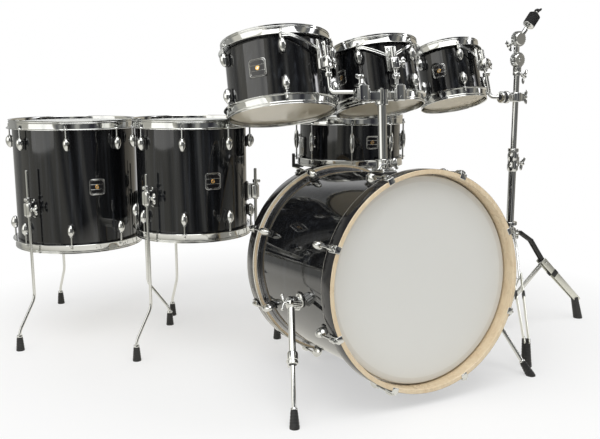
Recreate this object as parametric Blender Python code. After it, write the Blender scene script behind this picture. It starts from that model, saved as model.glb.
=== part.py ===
"""Seven-drum kit on its hardware: bass drum, three rack toms, two floor toms, a snare on its stand,
and a cymbal stand that carries the smallest tom.

Metres, +Z up. The floor is z = 0 and the player sits behind the kit, at +Y. Inside this file a
place in the kit is counted from the floor under the middle of the bass drum, and the root empty
carries the whole kit so that the origin lies under the middle of its footprint.
"""
import math
from dataclasses import dataclass

import bmesh
import bpy
from mathutils import Matrix, Vector

INCH = 0.0254
GAP = 0.0003                    # between pieces that touch
BORE_PLAY = 0.0005              # radial play of a rod or tube in the clamp that it slides in
SUNK = 0.003                    # how far a fused piece reaches into its neighbour
PAST = 0.010                    # how far a bore's cutter passes the face that it opens
MERGE = 0.00001                 # corners nearer than this are one
SHARP_EDGE = math.radians(40)

# Wing screws, the hardware's common thumb screw.
WING_STEM = 0.0035
WING_SPREAD = 0.017
WING_HEIGHT = 0.011
WING_THICKNESS = 0.005
WING_BELOW = 0.3                # part of the wings' height that lies past the stem's end

# Where the middle of the footprint lies, seen from under the bass drum.
FOOTPRINT_X = 0.0137
FOOTPRINT_Y = 0.4472

# Shells, heads and steel hoops. Radii outside the shell are counted from its outer face.
SHELL_WALL = 0.006
HEAD_FILM = 0.0007
FLESH_HOOP_DROP = 0.016         # from the bearing edge to the foot of the head's own hoop
FLESH_HOOP_OUT = 0.0066
FLESH_HOOP_CLEAR = 0.0004
HEAD_SHOULDER_OUT = 0.0020
RIM_STAND = 0.011               # steel hoop above the bearing edge
RIM_DROP = 0.018                # steel hoop below it
RIM_OUT = 0.0095
RIM_WALL = 0.0055
FLANGE_OUT = 0.0175
FLANGE_UNDERCUT = 0.002
FLANGE_EDGE = 0.001
FLANGE_HEIGHT = 0.005
ROD_OUT = 0.0125                # tension rod's axis
ROD_RADIUS = 0.003
LUG_LENGTH = 0.042
LUG_HALF_WIDTH = 0.0105
LUG_HALF_REACH = 0.0145
LUG_OUT = 0.0115
LUG_TIP_RADIUS = 0.005

# Bass drum, lying on its side with its front raised on two spurs.
BASS_LIFT = math.radians(3.756)
BASS_DIAMETER = 22 * INCH
BASS_DEPTH = 18 * INCH
BASS_HOOP_WIDTH = 0.048
BASS_HOOP_STAND = 0.0344        # wooden hoop beyond the shell's end
BASS_HOOP_CLEAR = 0.0035        # between the shell's radius and the inside of the wooden hoop
BASS_HOOP_WALL = 0.0156
BASS_HOOP_RADIUS = BASS_DIAMETER / 2 + BASS_HOOP_CLEAR + BASS_HOOP_WALL
BASS_FLESH_OUT = 0.010
BASS_FLESH_HEIGHT = 0.007
BASS_FLESH_CLEAR = 0.0006
BASS_SHOULDER_OUT = 0.0030
CLAW_WIDTH = 0.024
CLAW_THICKNESS = 0.006
CLAW_LENGTH = 0.026
CLAW_HOOK = 0.011               # how far the claw reaches in over the hoop's face
CLAW_FACE = 0.003
BASS_ROD_OFF = 0.0071           # tension rod's axis outside the wooden hoop
BASS_ROD_OUT = BASS_HOOP_CLEAR + BASS_HOOP_WALL + BASS_ROD_OFF
BASS_ROD_RADIUS = 0.0035
BASS_LUG_OUT = 0.0165
BASS_LUG_HALF_REACH = 0.0195

# Spurs of the bass drum.
SPUR_ANGLE = math.radians(-10.0)    # bracket below the drum's waist
SPUR_ALONG = 0.0536                 # bracket in front of the drum's middle
SPUR_OUT = 0.030                    # spur's axis off the shell
SPUR_FOOT_X = 0.388
SPUR_FOOT_Y = -0.245
SPUR_TUBE_RADIUS = 0.0095
SPUR_TUBE_LENGTH = 0.133
SPUR_COLLAR_RADIUS = 0.0145
SPUR_COLLAR_LENGTH = 0.034
SPUR_ROD_RADIUS = 0.006
SPUR_ROD_INSIDE = 0.060
SPUR_EYE_RADIUS = 0.019
SPUR_EYE_THICKNESS = 0.022
SPUR_BOSS_RADIUS = 0.021
SPUR_BOSS_HEIGHT = 0.010
SPUR_BOSS_STALK = 0.010
SPUR_EYE_BACK = 0.013           # depth of the fixed half of the eye
SPUR_LEVER_REACH = 0.022
SPUR_SOLE = 0.012               # rubber that the floor cuts off

# Rubber feet.
FOOT_LENGTH = 0.046
FOOT_RADIUS = 0.0150
FOOT_NECK_RADIUS = 0.0095
FOOT_WIDEST = 0.8               # part of its length where the foot is widest
FOOT_SOLE = 0.7                 # sole's radius as a part of the foot's

# Holder of the two middle rack toms.
POST_ALONG = 0.049              # in front of the bass drum's middle
POST_RADIUS = 0.0125
POST_INSIDE = 0.055             # part of the post that hangs inside the bass drum
HOLDER_RISE = 0.2276            # ball centres above the bass drum's shell
HOLDER_LEFT = 0.070
HOLDER_RIGHT = 0.050
BASS_MIDDLE = ((BASS_DEPTH / 2 + BASS_HOOP_STAND) * math.sin(BASS_LIFT)
               + BASS_HOOP_RADIUS * math.cos(BASS_LIFT))
BALL_HEIGHT = (BASS_MIDDLE + (BASS_DIAMETER / 2 + HOLDER_RISE) * math.cos(BASS_LIFT)
               + POST_ALONG * math.sin(BASS_LIFT))
TOM12_ABOVE_BALL = 0.0378
TOM10_ABOVE_BALL = 0.0388
HOLDER_HUB_RADIUS = 0.019
BALL_RADIUS = 0.0147
BALL_PLAY = 0.0008
CUP_RADIUS = 0.018
CUP_DEPTH = 0.024               # from the ball's centre to the foot of the cup
CUP_RIM_DROP = 0.009            # the cup's rim lies below the ball's centre
HUB_RIM = 0.012                 # hub beyond the cups' feet and the balls' centres
CROSS_BAR_RADIUS = 0.007
CAP_THICKNESS = 0.006
CAP_HALF_WIDTH = 0.009
CAP_BACK = 0.012
CUP_WALL_FRONT = -0.0222        # the wall that carries the cap, in front of the ball
CUP_WALL_BACK = -0.0172
CAP_SCREW_REACH = 0.030
HOLDER_BASE_LENGTH = 0.074
HOLDER_BASE_WIDTH = 0.048
HOLDER_BASE_HEIGHT = 0.014
HOLDER_COLLAR_RADIUS = 0.021
HOLDER_COLLAR_HEIGHT = 0.040
HOLDER_SCREW_HEIGHT = 0.027
HOLDER_SCREW_REACH = 0.024

# Rods that carry the rack toms, and the toms' suspension brackets.
ARM_RADIUS = 0.0055
ARM_OUT = 0.036                 # rod's axis off the shell
ARM_TOP = 0.048                 # rod's end above the drum's middle
ARM_BEND = 0.012                # how far the rod's bend reaches along both its legs
BEND_CUT = 0.35                 # where the bend's middle lies, as a part of that
BRACKET_HOOK = math.radians(2.5)    # how far the band passes the tension rods
BRACKET_SCREW_REACH = 0.019
BRACKET_SCREW_OUT = 0.006
BRACKET_THICKNESS = 0.003
BRACKET_BAND_TOP = 0.0195       # below the bearing edge
BRACKET_BAND_BOTTOM = 0.0275
BRACKET_PLATE_WIDTH = 0.038
BRACKET_CLAMP_WIDTH = 0.026
BRACKET_CLAMP_HEIGHT = 0.034
BRACKET_CLAMP_DEPTH = 0.030
BRACKET_STEPS = 6

# Floor toms' legs.
LEG_RADIUS = 0.0048
LEG_OUT = 0.030                 # leg's axis off the shell
LEG_BEND_HEIGHT = 0.155
LEG_BLOCK_WIDTH = 0.028
LEG_BLOCK_HEIGHT = 0.050
LEG_BLOCK_DEPTH = 0.042
LEG_BEND = 0.018                # how far the leg's bend reaches along both its parts
LEG_SCREW_REACH = 0.020

# Snare drum's fittings, and its stand.
STRAINER_ANGLE = math.radians(-5.5)
STRAINER_WIDTH = 0.030
STRAINER_DEPTH = 0.020
STRAINER_HEIGHT = 0.066
STRAINER_FOOT = 0.024           # above the snare's lower bearing edge
BUTT_DEPTH = 0.014
LEVER_BARREL_RADIUS = 0.0055
LEVER_PIVOT_HEIGHT = 0.012      # above the strainer's foot
LEVER_WIDTH = 0.012
LEVER_THICKNESS = 0.005
LEVER_LENGTH = 0.056
WIRES_LENGTH = 0.330
WIRES_WIDTH = 0.040
WIRES_THICKNESS = 0.003
TUBE_LUG_RADIUS = 0.006
TUBE_LUG_LENGTH = 0.060
TUBE_LUG_WEB = 0.010
TUBE_LUG_WEB_HEIGHT = 0.024
SNARE_STAND_LEG_REACH = 0.210
SNARE_STAND_HUB_HEIGHT = 0.230
SNARE_STAND_TUBE_TOP = 0.400
BASKET_HUB_HEIGHT = 0.490
BASKET_ARM_ANGLES = (155.0, 275.0, 35.0)
BASKET_ARM_RADIUS = 0.0055
BASKET_TUBE_FOOT = 0.200
BASKET_HUB_RADIUS = 0.022
BASKET_BEND = 0.75              # where the arm bends, as a part of the way to the pad
BASKET_DROP = 0.035             # of the bend below the pad
PAD_INSET = 0.012               # the pad's inner end inside the snare's shell
PAD_HEIGHT = 0.012
SNARE_STAND_TUBE_FOOT = 0.060
SNARE_STAND_BRACE_HEIGHT = 0.085
SNARE_STAND_BORE_FOOT = 0.120
SNARE_STAND_COLLAR = 0.050
GRIP_WIDTH = 0.022
GRIP_RISE = 0.036
GRIP_THICKNESS = 0.011

# Cymbal stand.
STAND_X = 0.605
STAND_Y = 0.113
STAND_TUBE_RADIUS = 0.0125
STAND_INNER_RADIUS = 0.0095
STAND_TUBE_FOOT = 0.060
STAND_LOWER_HUB_HEIGHT = 0.130
STAND_HUB_HEIGHT = 0.346
STAND_LEG_REACH = 0.346
STAND_LEG_ANGLES = (-0.7, -120.7, 119.3)
STAND_COLLAR_BOTTOM = 0.557
STAND_COLLAR_TOP = 0.621
STAND_COLLAR_RADIUS = 0.019
STAND_SCREW_REACH = 0.024
STAND_BORE_FOOT = 0.290
STAND_MIDDLE_FOOT = 0.450
STAND_JOINT_HEIGHT = 0.922
TILTER_LENGTH = 0.067
TILTER_DISC_RADIUS = 0.020
TILTER_DISC_THICKNESS = 0.011
TILTER_HALF_WIDTH = 0.009
TILTER_STEM = 0.018             # the tube's fork above its collar
TILTER_SCREW_OUT = 0.014
TILTER_SCREW_DROP = 0.010
TUBE_COLLAR_RADIUS = 0.0135
TUBE_COLLAR_LENGTH = 0.030
TUBE_COLLAR_TOP = 0.001         # below the discs
SEAT_TILT = math.radians(38.0)
SEAT_ROD_LENGTH = 0.112
SEAT_ROD_RADIUS = 0.0042
FELT_RADIUS = 0.0205
FELT_STACK = 0.046
FELT_FOOT = 0.056
FELT_NECK = 0.55                # felt cup's foot radius as a part of the felts'
FELT_SHOULDER = 0.012
SLEEVE_RADIUS = 0.0075
SLEEVE_BOTTOM = 0.022
SLEEVE_TOP = 0.042
NUT_STEM = 0.007
NUT_SUNK = 0.008
NUT_REACH = 0.016
LEG_STRIP_WIDTH = 0.013
LEG_STRIP_THICKNESS = 0.004
LEG_STRIP_SPREAD = 0.011
LEG_STRIP_ROOT = 0.012          # where the strips start, off the hub's axis
LEG_STRIP_CLOSING = 0.5         # spread at the boot as a part of the spread at the hub
BRACE_RADIUS = 0.0045
BRACE_JOINS = 0.55              # where the brace meets the leg, as a part of its length
HUB_RADIUS = 0.021
HUB_BELOW = 0.022
HUB_ABOVE = 0.018
LOWER_HUB_RADIUS = 0.018
LOWER_HUB_HALF = 0.012
BOOT_LENGTH = 0.070
BOOT_RADIUS = 0.013
BOOT_NECK_RADIUS = 0.0105
CLAMP_BELOW_JOINT = 0.120       # small tom's clamp below the stand's lower joint
CLAMP_HEIGHT = STAND_JOINT_HEIGHT - CLAMP_BELOW_JOINT
CLAMP_REACH = 0.051             # from the pole to the socket of the tom's rod
CLAMP_BLOCK = 0.030
CLAMP_BACK = 0.010              # block beyond the pole
SOCKET_RADIUS = 0.017
SOCKET_HALF = 0.012             # half the block's width at the socket
CLAMP_SCREW_REACH = 0.020
TOM8_ABOVE_CLAMP = 0.068        # small tom's middle above its clamp


@dataclass(frozen=True)
class Drum:
    """Sizes of one drum and its place in the kit."""

    name: str
    diameter: float
    depth: float
    lugs: int
    phase: float                # angle of the first lug, in degrees
    lug_inset: float            # from the bearing edge to the lug's middle
    sides: int
    x: float
    y: float
    z: float
    lean: float = 0.0           # tilt of the drum's axis, in degrees
    heading: float = 90.0       # the direction that the axis leans to, in degrees from +X
    bracket: float = 0.0        # angle of the suspension bracket's rod, in degrees
    rods: tuple = ()            # angles of the legs, in degrees
    foot_reach: float = 0.0
    clamp_height: float = 0.0
    rod_top: float = 0.0

    @property
    def radius(self):
        return self.diameter / 2

    @property
    def place(self):
        """The drum's frame: origin at its middle, +Z out of its batter head."""
        turn = Matrix.Rotation(math.radians(self.heading - 90), 4, "Z")
        lean = Matrix.Rotation(-math.radians(self.lean), 4, "X")
        return Matrix.Translation((self.x, self.y, self.z)) @ turn @ lean


BASS = Drum("bass", BASS_DIAMETER, BASS_DEPTH, 8, 22.5, 0.062, 32, 0, 0, BASS_MIDDLE)
TOM12 = Drum("tom12", 12 * INCH, 8 * INCH, 5, -33, 0.050, 20, -0.200, 0.236,
             BALL_HEIGHT + TOM12_ABOVE_BALL, 15, 86, bracket=-64)
TOM10 = Drum("tom10", 10 * INCH, 7 * INCH, 5, -70, 0.050, 20, 0.121, 0.205,
             BALL_HEIGHT + TOM10_ABOVE_BALL, 15, 91, bracket=-104)
TOM8 = Drum("tom8", 8 * INCH, 7 * INCH, 5, -34, 0.050, 20, 0.475, 0.300,
            CLAMP_HEIGHT + TOM8_ABOVE_CLAMP, 17.6, 90, bracket=-70)
FLOOR16 = Drum("floor16", 16 * INCH, 16 * INCH, 8, 27, 0.065, 24, -0.6815, 0.8587, 0.5173,
               rods=(95.5, 218.0, 331.0), foot_reach=0.308, clamp_height=0.450, rod_top=0.575)
FLOOR14 = Drum("floor14", 14 * INCH, 14 * INCH, 8, 18, 0.065, 24, -0.372, 0.540, 0.5518,
               rods=(89.2, 209.2, 329.2), foot_reach=0.276, clamp_height=0.502, rod_top=0.575)
SNARE = Drum("snare", 14 * INCH, 6 * INCH, 8, 17, 0.076, 24, 0.218, 0.530, 0.651)

# Colour, roughness and metallic value of each finish.
FINISHES = {
    "black_wrap": ((0.016, 0.016, 0.018), 0.10, 0.0),
    "chrome": ((0.80, 0.80, 0.80), 0.12, 1.0),
    "coated_head": ((0.86, 0.87, 0.87), 0.55, 0.0),
    "film_head": ((0.62, 0.58, 0.50), 0.35, 0.0),
    "black_hoop": ((0.020, 0.020, 0.022), 0.15, 0.0),
    "rubber": ((0.030, 0.030, 0.030), 0.70, 0.0),
    "snare_steel": ((0.70, 0.70, 0.72), 0.30, 1.0),
}


class Frame:
    """An empty of the kit, with its place counted in the kit."""

    def __init__(self, name, place, parent=None):
        self.place = place
        self.empty = bpy.data.objects.new(name, None)
        self.empty.empty_display_size = 0.03
        bpy.context.scene.collection.objects.link(self.empty)
        if parent:
            self.empty.parent = parent.empty
            self.empty.matrix_local = parent.place.inverted() @ place


def clear_scene():
    """Removes every object of the scene."""
    for thing in list(bpy.data.objects):
        bpy.data.objects.remove(thing, do_unlink=True)


def finish(name):
    """The material of that name, made once."""
    if name in bpy.data.materials:
        return bpy.data.materials[name]
    colour, roughness, metallic = FINISHES[name]
    made = bpy.data.materials.new(name)
    made.use_nodes = True
    shader = made.node_tree.nodes["Principled BSDF"]
    shader.inputs["Base Color"].default_value = (*colour, 1)
    shader.inputs["Roughness"].default_value = roughness
    shader.inputs["Metallic"].default_value = metallic
    made.diffuse_color = (*colour, 1)
    return made


def polar(radius, angle, height=0.0):
    """A point from its radius, its angle in radians and its height."""
    return Vector((radius * math.cos(angle), radius * math.sin(angle), height))


def along(start, end):
    """The matrix that puts +Z along the way from one point to another, at the first."""
    way = Vector(end) - Vector(start)
    return Matrix.Translation(start) @ way.to_track_quat("Z", "Y").to_matrix().to_4x4()


def turned(profile, sides, place=None):
    """A solid of revolution about +Z from a closed profile of (radius, height) points."""
    solid = bmesh.new()
    corners = [solid.verts.new((radius, 0, height)) for radius, height in profile]
    edges = [solid.edges.new((corners[i], corners[i - 1])) for i in range(len(corners))]
    edges = [edge for edge in edges if max(vert.co.x for vert in edge.verts) > 0]
    bmesh.ops.spin(solid, geom=corners + edges, cent=(0, 0, 0), axis=(0, 0, 1),
                   angle=2 * math.pi, steps=sides, use_merge=True)
    bmesh.ops.delete(solid, geom=[edge for edge in solid.edges if not edge.link_faces],
                     context="EDGES")
    bmesh.ops.remove_doubles(solid, verts=solid.verts, dist=MERGE)
    bmesh.ops.recalc_face_normals(solid, faces=solid.faces)
    return placed(solid, place)


def placed(solid, place=None):
    """The same solid, moved by a matrix."""
    if place is not None:
        bmesh.ops.transform(solid, matrix=place, verts=solid.verts)
    return solid


def bar(start, end, radius, sides=8, end_radius=None):
    """A round bar, or a cone, from one point to another."""
    start, end = Vector(start), Vector(end)
    solid = bmesh.new()
    bmesh.ops.create_cone(solid, cap_ends=True, segments=sides, radius1=radius,
                          radius2=radius if end_radius is None else end_radius,
                          depth=(end - start).length)
    bmesh.ops.translate(solid, vec=(0, 0, (end - start).length / 2), verts=solid.verts)
    return placed(solid, along(start, end))


def block(low, high, place=None):
    """A box from its lowest to its highest corner."""
    low, high = Vector(low), Vector(high)
    solid = bmesh.new()
    bmesh.ops.create_cube(solid, size=1)
    bmesh.ops.scale(solid, vec=high - low, verts=solid.verts)
    bmesh.ops.translate(solid, vec=(low + high) / 2, verts=solid.verts)
    return placed(solid, place)


def ball(centre, radius, sides=10):
    """A round ball."""
    solid = bmesh.new()
    bmesh.ops.create_uvsphere(solid, u_segments=sides, v_segments=sides // 2 + 1, radius=radius)
    bmesh.ops.translate(solid, vec=centre, verts=solid.verts)
    return solid


def bent_bar(points, radius, resolution=1):
    """A round bar through a few points, with closed ends."""
    curve = bpy.data.curves.new("bent_bar", "CURVE")
    curve.dimensions = "3D"
    curve.bevel_depth = radius
    curve.bevel_resolution = resolution
    curve.use_fill_caps = True
    line = curve.splines.new("POLY")
    line.points.add(len(points) - 1)
    for point, at in zip(line.points, points):
        point.co = (*at, 1)
    carrier = bpy.data.objects.new("bent_bar", curve)
    bpy.context.scene.collection.objects.link(carrier)
    mesh = evaluated(carrier)
    bpy.data.objects.remove(carrier, do_unlink=True)
    solid = bmesh.new()
    solid.from_mesh(mesh)
    bmesh.ops.remove_doubles(solid, verts=solid.verts, dist=MERGE)
    bmesh.ops.recalc_face_normals(solid, faces=solid.faces)
    return solid


def cut_at_floor(solid):
    """Takes off what reaches below the floor, and closes the cut with a flat face."""
    whole = list(solid.verts) + list(solid.edges) + list(solid.faces)
    bmesh.ops.bisect_plane(solid, geom=whole, dist=MERGE, plane_co=(0, 0, 0),
                           plane_no=(0, 0, -1), clear_outer=True)
    bmesh.ops.holes_fill(solid, edges=[e for e in solid.edges if len(e.link_faces) == 1], sides=0)
    bmesh.ops.recalc_face_normals(solid, faces=solid.faces)
    return solid


def evaluated(carrier):
    """The mesh that an object shows with its modifiers."""
    bpy.context.view_layer.update()
    graph = bpy.context.evaluated_depsgraph_get()
    return bpy.data.meshes.new_from_object(carrier.evaluated_get(graph), depsgraph=graph)


def helper(solid, group):
    """A short-lived object that a Boolean reads."""
    mesh = bpy.data.meshes.new("helper")
    solid.to_mesh(mesh)
    solid.free()
    made = bpy.data.objects.new("helper", mesh)
    group.objects.link(made)
    return made


def joined(solids, holes=()):
    """One closed mesh of several solids that overlap, less the holes."""
    scene = bpy.context.scene.collection
    first = helper(solids[0], scene)
    groups = []
    for operation, others in (("UNION", solids[1:]), ("DIFFERENCE", holes)):
        if not others:
            continue
        group = bpy.data.collections.new("helpers")
        scene.children.link(group)
        for other in others:
            helper(other, group)
        step = first.modifiers.new(operation.lower(), "BOOLEAN")
        step.operation = operation
        step.operand_type = "COLLECTION"
        step.collection = group
        step.solver = "EXACT"
        groups.append(group)
    mesh = evaluated(first)
    for group in groups:
        for other in list(group.objects):
            bpy.data.objects.remove(other, do_unlink=True)
        bpy.data.collections.remove(group)
    bpy.data.objects.remove(first, do_unlink=True)
    return mesh


def node(name, mesh, finish_name, place, parent):
    """Puts a finished mesh into the kit as a named object under its empty."""
    mesh.name = name
    mesh.materials.clear()
    mesh.materials.append(finish(finish_name))
    mesh.shade_smooth()
    mesh.set_sharp_from_angle(angle=SHARP_EDGE)
    made = bpy.data.objects.new(name, mesh)
    bpy.context.scene.collection.objects.link(made)
    made.parent = parent.empty
    made.matrix_local = parent.place.inverted() @ place
    return made


def wing_screw(start, way, reach, flat, stem=WING_STEM, spread=WING_SPREAD):
    """A screw that sticks out along a way, with two wings across its end along the flat."""
    start, way, flat = Vector(start), Vector(way).normalized(), Vector(flat).normalized()
    tip = start + way * reach
    side = way.cross(flat)
    wings = Matrix.Translation(tip) @ Matrix((flat, side, way)).transposed().to_4x4()
    return [bar(start, tip, stem, 6),
            block((-spread, -WING_THICKNESS / 2, -WING_HEIGHT),
                  (spread, WING_THICKNESS / 2, WING_HEIGHT * WING_BELOW), wings)]


def lug(drum, angle, height, out=LUG_OUT, half_reach=LUG_HALF_REACH):
    """One oval lug, fused to the shell at an angle and a height in the drum's frame."""
    half = LUG_LENGTH / 2
    profile = [(0, -half), (LUG_TIP_RADIUS, -half), (LUG_HALF_WIDTH, 0), (LUG_TIP_RADIUS, half),
               (0, half)]
    stretch = Matrix.Diagonal((-half_reach / LUG_HALF_WIDTH, 1, 1, 1))
    turn = Matrix.Rotation(angle, 4, "Z")
    place = turn @ Matrix.Translation((drum.radius + out, 0, height)) @ stretch
    solid = turned(profile, 5, place)
    bmesh.ops.reverse_faces(solid, faces=solid.faces)
    return solid


def lug_angles(drum):
    """The angles of a drum's lugs."""
    return [math.radians(drum.phase + 360 / drum.lugs * i) for i in range(drum.lugs)]


def shell_body(drum):
    """The open tube of a shell."""
    outer, inner, half = drum.radius, drum.radius - SHELL_WALL, drum.depth / 2
    return turned([(inner, -half), (outer, -half), (outer, half), (inner, half)], drum.sides)


def lug_row(drum, side):
    """One row of lugs near the batter end (side 1) or the bottom end (side -1)."""
    height = side * (drum.depth / 2 - drum.lug_inset)
    return [lug(drum, angle, height) for angle in lug_angles(drum)]


def head(drum, side):
    """A drum head: film over the bearing edge and its own hoop beside the shell."""
    edge, outer = drum.depth / 2, drum.radius
    profile = [
        (0, edge + GAP + HEAD_FILM),
        (outer + HEAD_SHOULDER_OUT, edge + GAP + HEAD_FILM),
        (outer + FLESH_HOOP_OUT, edge - FLESH_HOOP_DROP),
        (outer + FLESH_HOOP_CLEAR, edge - FLESH_HOOP_DROP),
        (outer + FLESH_HOOP_CLEAR, edge + GAP),
        (0, edge + GAP),
    ]
    return joined([turned(profile, drum.sides, flip(side))])


def flip(side):
    """Turns a piece made for the batter end over to the other end, or leaves it."""
    return Matrix.Rotation(math.pi, 4, "X") if side < 0 else Matrix()


def lug_tip(drum):
    """Height of the lugs' outer tips in the drum's frame."""
    return drum.depth / 2 - drum.lug_inset + LUG_LENGTH / 2


def steel_hoop(drum, side, tip=None):
    """A flanged steel hoop with its tension rods, which end at the lugs."""
    edge, outer = drum.depth / 2, drum.radius
    profile = [
        (outer + RIM_OUT - FLANGE_UNDERCUT, edge - RIM_DROP),
        (outer + FLANGE_OUT, edge - RIM_DROP + FLANGE_EDGE),
        (outer + RIM_OUT, edge - RIM_DROP + FLANGE_HEIGHT),
        (outer + RIM_OUT, edge + RIM_STAND),
        (outer + RIM_OUT - RIM_WALL, edge + RIM_STAND),
    ]
    tip = lug_tip(drum) if tip is None else tip
    rods = []
    for angle in lug_angles(drum):
        angle = angle if side > 0 else -angle
        foot = polar(outer + ROD_OUT, angle, tip + GAP)
        top = polar(outer + ROD_OUT, angle, edge - RIM_DROP + FLANGE_HEIGHT / 3)
        rods.append(bar(foot, top, ROD_RADIUS, 6))
    solids = [turned(profile, drum.sides)] + rods
    return joined([placed(solid, flip(side)) for solid in solids])


def heads_and_hoops(drum, parent, snare_side=False):
    """Both heads and both steel hoops of a drum."""
    tip = TUBE_LUG_LENGTH / 2 if snare_side else None
    for side, end, skin in ((1, "batter", "coated_head"), (-1, "bottom", "film_head")):
        node(f"{drum.name}_{end}_head", head(drum, side), skin, drum.place, parent)
        node(f"{drum.name}_{end}_hoop", steel_hoop(drum, side, tip), "chrome", drum.place, parent)


# Bass drum


def bass_place():
    """The bass drum's frame: origin at its middle, +Z out of its front, +Y up."""
    turn = Matrix.Rotation(math.pi / 2 - BASS_LIFT, 4, "X")
    return Matrix.Translation((BASS.x, BASS.y, BASS.z)) @ turn


def spur_points(side):
    """Pivot and foot of a spur in the kit; side is -1 on the left and 1 on the right."""
    radius = BASS.radius + SPUR_OUT
    pivot = bass_place() @ Vector((side * radius * math.cos(SPUR_ANGLE),
                                   radius * math.sin(SPUR_ANGLE), SPUR_ALONG))
    return pivot, Vector((side * SPUR_FOOT_X, SPUR_FOOT_Y, 0))


def spur_axis(side):
    """The hinge's axis of a spur: across the spur, away from the shell."""
    pivot, foot = spur_points(side)
    way = (foot - pivot).normalized()
    out = Vector((side, 0, 0))
    return (out - way * out.dot(way)).normalized()


def bass_shell(parent):
    """Shell of the bass drum with its lugs, spur bosses and the base of the tom holder."""
    place = bass_place()
    back = place.inverted()
    row = BASS.depth / 2 - BASS.lug_inset
    solids = [shell_body(BASS)]
    for angle in lug_angles(BASS):
        for height in (row, -row):
            solids.append(lug(BASS, angle, height, BASS_LUG_OUT, BASS_LUG_HALF_REACH))
    for side in (-1, 1):
        pivot, _ = spur_points(side)
        axis = spur_axis(side)
        face = pivot - axis * (SPUR_EYE_THICKNESS / 2 + GAP)
        out = back @ pivot
        out = Vector((out.x, out.y, 0)).normalized()
        root = out * (BASS.radius - SHELL_WALL / 2) + Vector((0, 0, SPUR_ALONG))
        solids.append(bar(root, root + out * SPUR_BOSS_HEIGHT, SPUR_BOSS_RADIUS, 12))
        solids.append(bar(root + out * SUNK, back @ (face - axis * (SPUR_EYE_BACK - SUNK)),
                          SPUR_BOSS_STALK, 8))
        solids.append(bar(back @ (face - axis * SPUR_EYE_BACK), back @ face, SPUR_EYE_RADIUS, 10))
    plate_top = BASS.radius + HOLDER_BASE_HEIGHT
    sunk = BASS.radius - SHELL_WALL / 2
    solids.append(block((-HOLDER_BASE_WIDTH / 2, sunk, POST_ALONG - HOLDER_BASE_LENGTH / 2),
                        (HOLDER_BASE_WIDTH / 2, plate_top, POST_ALONG + HOLDER_BASE_LENGTH / 2)))
    collar_top = BASS.radius + HOLDER_COLLAR_HEIGHT
    solids.append(bar((0, sunk, POST_ALONG), (0, collar_top, POST_ALONG), HOLDER_COLLAR_RADIUS, 12))
    screw = (0, BASS.radius + HOLDER_SCREW_HEIGHT, POST_ALONG + HOLDER_COLLAR_RADIUS - SUNK)
    solids += wing_screw(screw, (0, 0, 1), HOLDER_SCREW_REACH, (1, 0, 0))
    bore = bar((0, BASS.radius - POST_INSIDE, POST_ALONG), (0, collar_top + PAST, POST_ALONG),
               POST_RADIUS + BORE_PLAY, 16)
    node("bass_shell", joined(solids, [bore]), "black_wrap", place, parent)


def bass_head(parent, side, name):
    """A bass drum head under its wooden hoop."""
    edge, outer = BASS.depth / 2, BASS.radius
    shoulder = edge + BASS_HOOP_STAND - BASS_HOOP_WIDTH - GAP
    profile = [
        (0, edge + GAP + HEAD_FILM),
        (outer + BASS_SHOULDER_OUT, edge + GAP + HEAD_FILM),
        (outer + BASS_SHOULDER_OUT, shoulder),
        (outer + BASS_FLESH_OUT, shoulder),
        (outer + BASS_FLESH_OUT, shoulder - BASS_FLESH_HEIGHT),
        (outer + BASS_FLESH_CLEAR, shoulder - BASS_FLESH_HEIGHT),
        (outer + BASS_FLESH_CLEAR, edge + GAP),
        (0, edge + GAP),
    ]
    mesh = joined([turned(profile, BASS.sides, flip(side))])
    node(name, mesh, "coated_head", bass_place(), parent)


def bass_hoop(parent, side, name):
    """A wooden hoop with its claws and tension rods."""
    edge, outer = BASS.depth / 2, BASS.radius
    top = edge + BASS_HOOP_STAND
    low = top - BASS_HOOP_WIDTH
    inner = outer + BASS_HOOP_CLEAR
    solids = [turned([(inner, low), (BASS_HOOP_RADIUS, low), (BASS_HOOP_RADIUS, top),
                      (inner, top)], BASS.sides)]
    tip = edge - BASS.lug_inset + LUG_LENGTH / 2
    for angle in lug_angles(BASS):
        turn = Matrix.Rotation(angle, 4, "Z")
        solids.append(block((BASS_HOOP_RADIUS - SUNK, -CLAW_WIDTH / 2, top - CLAW_LENGTH),
                            (BASS_HOOP_RADIUS + CLAW_THICKNESS, CLAW_WIDTH / 2, top), turn))
        solids.append(block((BASS_HOOP_RADIUS - CLAW_HOOK, -CLAW_WIDTH / 2, top - SUNK),
                            (BASS_HOOP_RADIUS + CLAW_THICKNESS, CLAW_WIDTH / 2, top + CLAW_FACE),
                            turn))
        foot = polar(outer + BASS_ROD_OUT, angle, tip + GAP)
        solids.append(bar(foot, polar(outer + BASS_ROD_OUT, angle, top - CLAW_LENGTH / 3),
                          BASS_ROD_RADIUS, 6))
    mesh = joined([placed(solid, flip(side)) for solid in solids])
    node(name, mesh, "black_hoop", bass_place(), parent)


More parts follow.
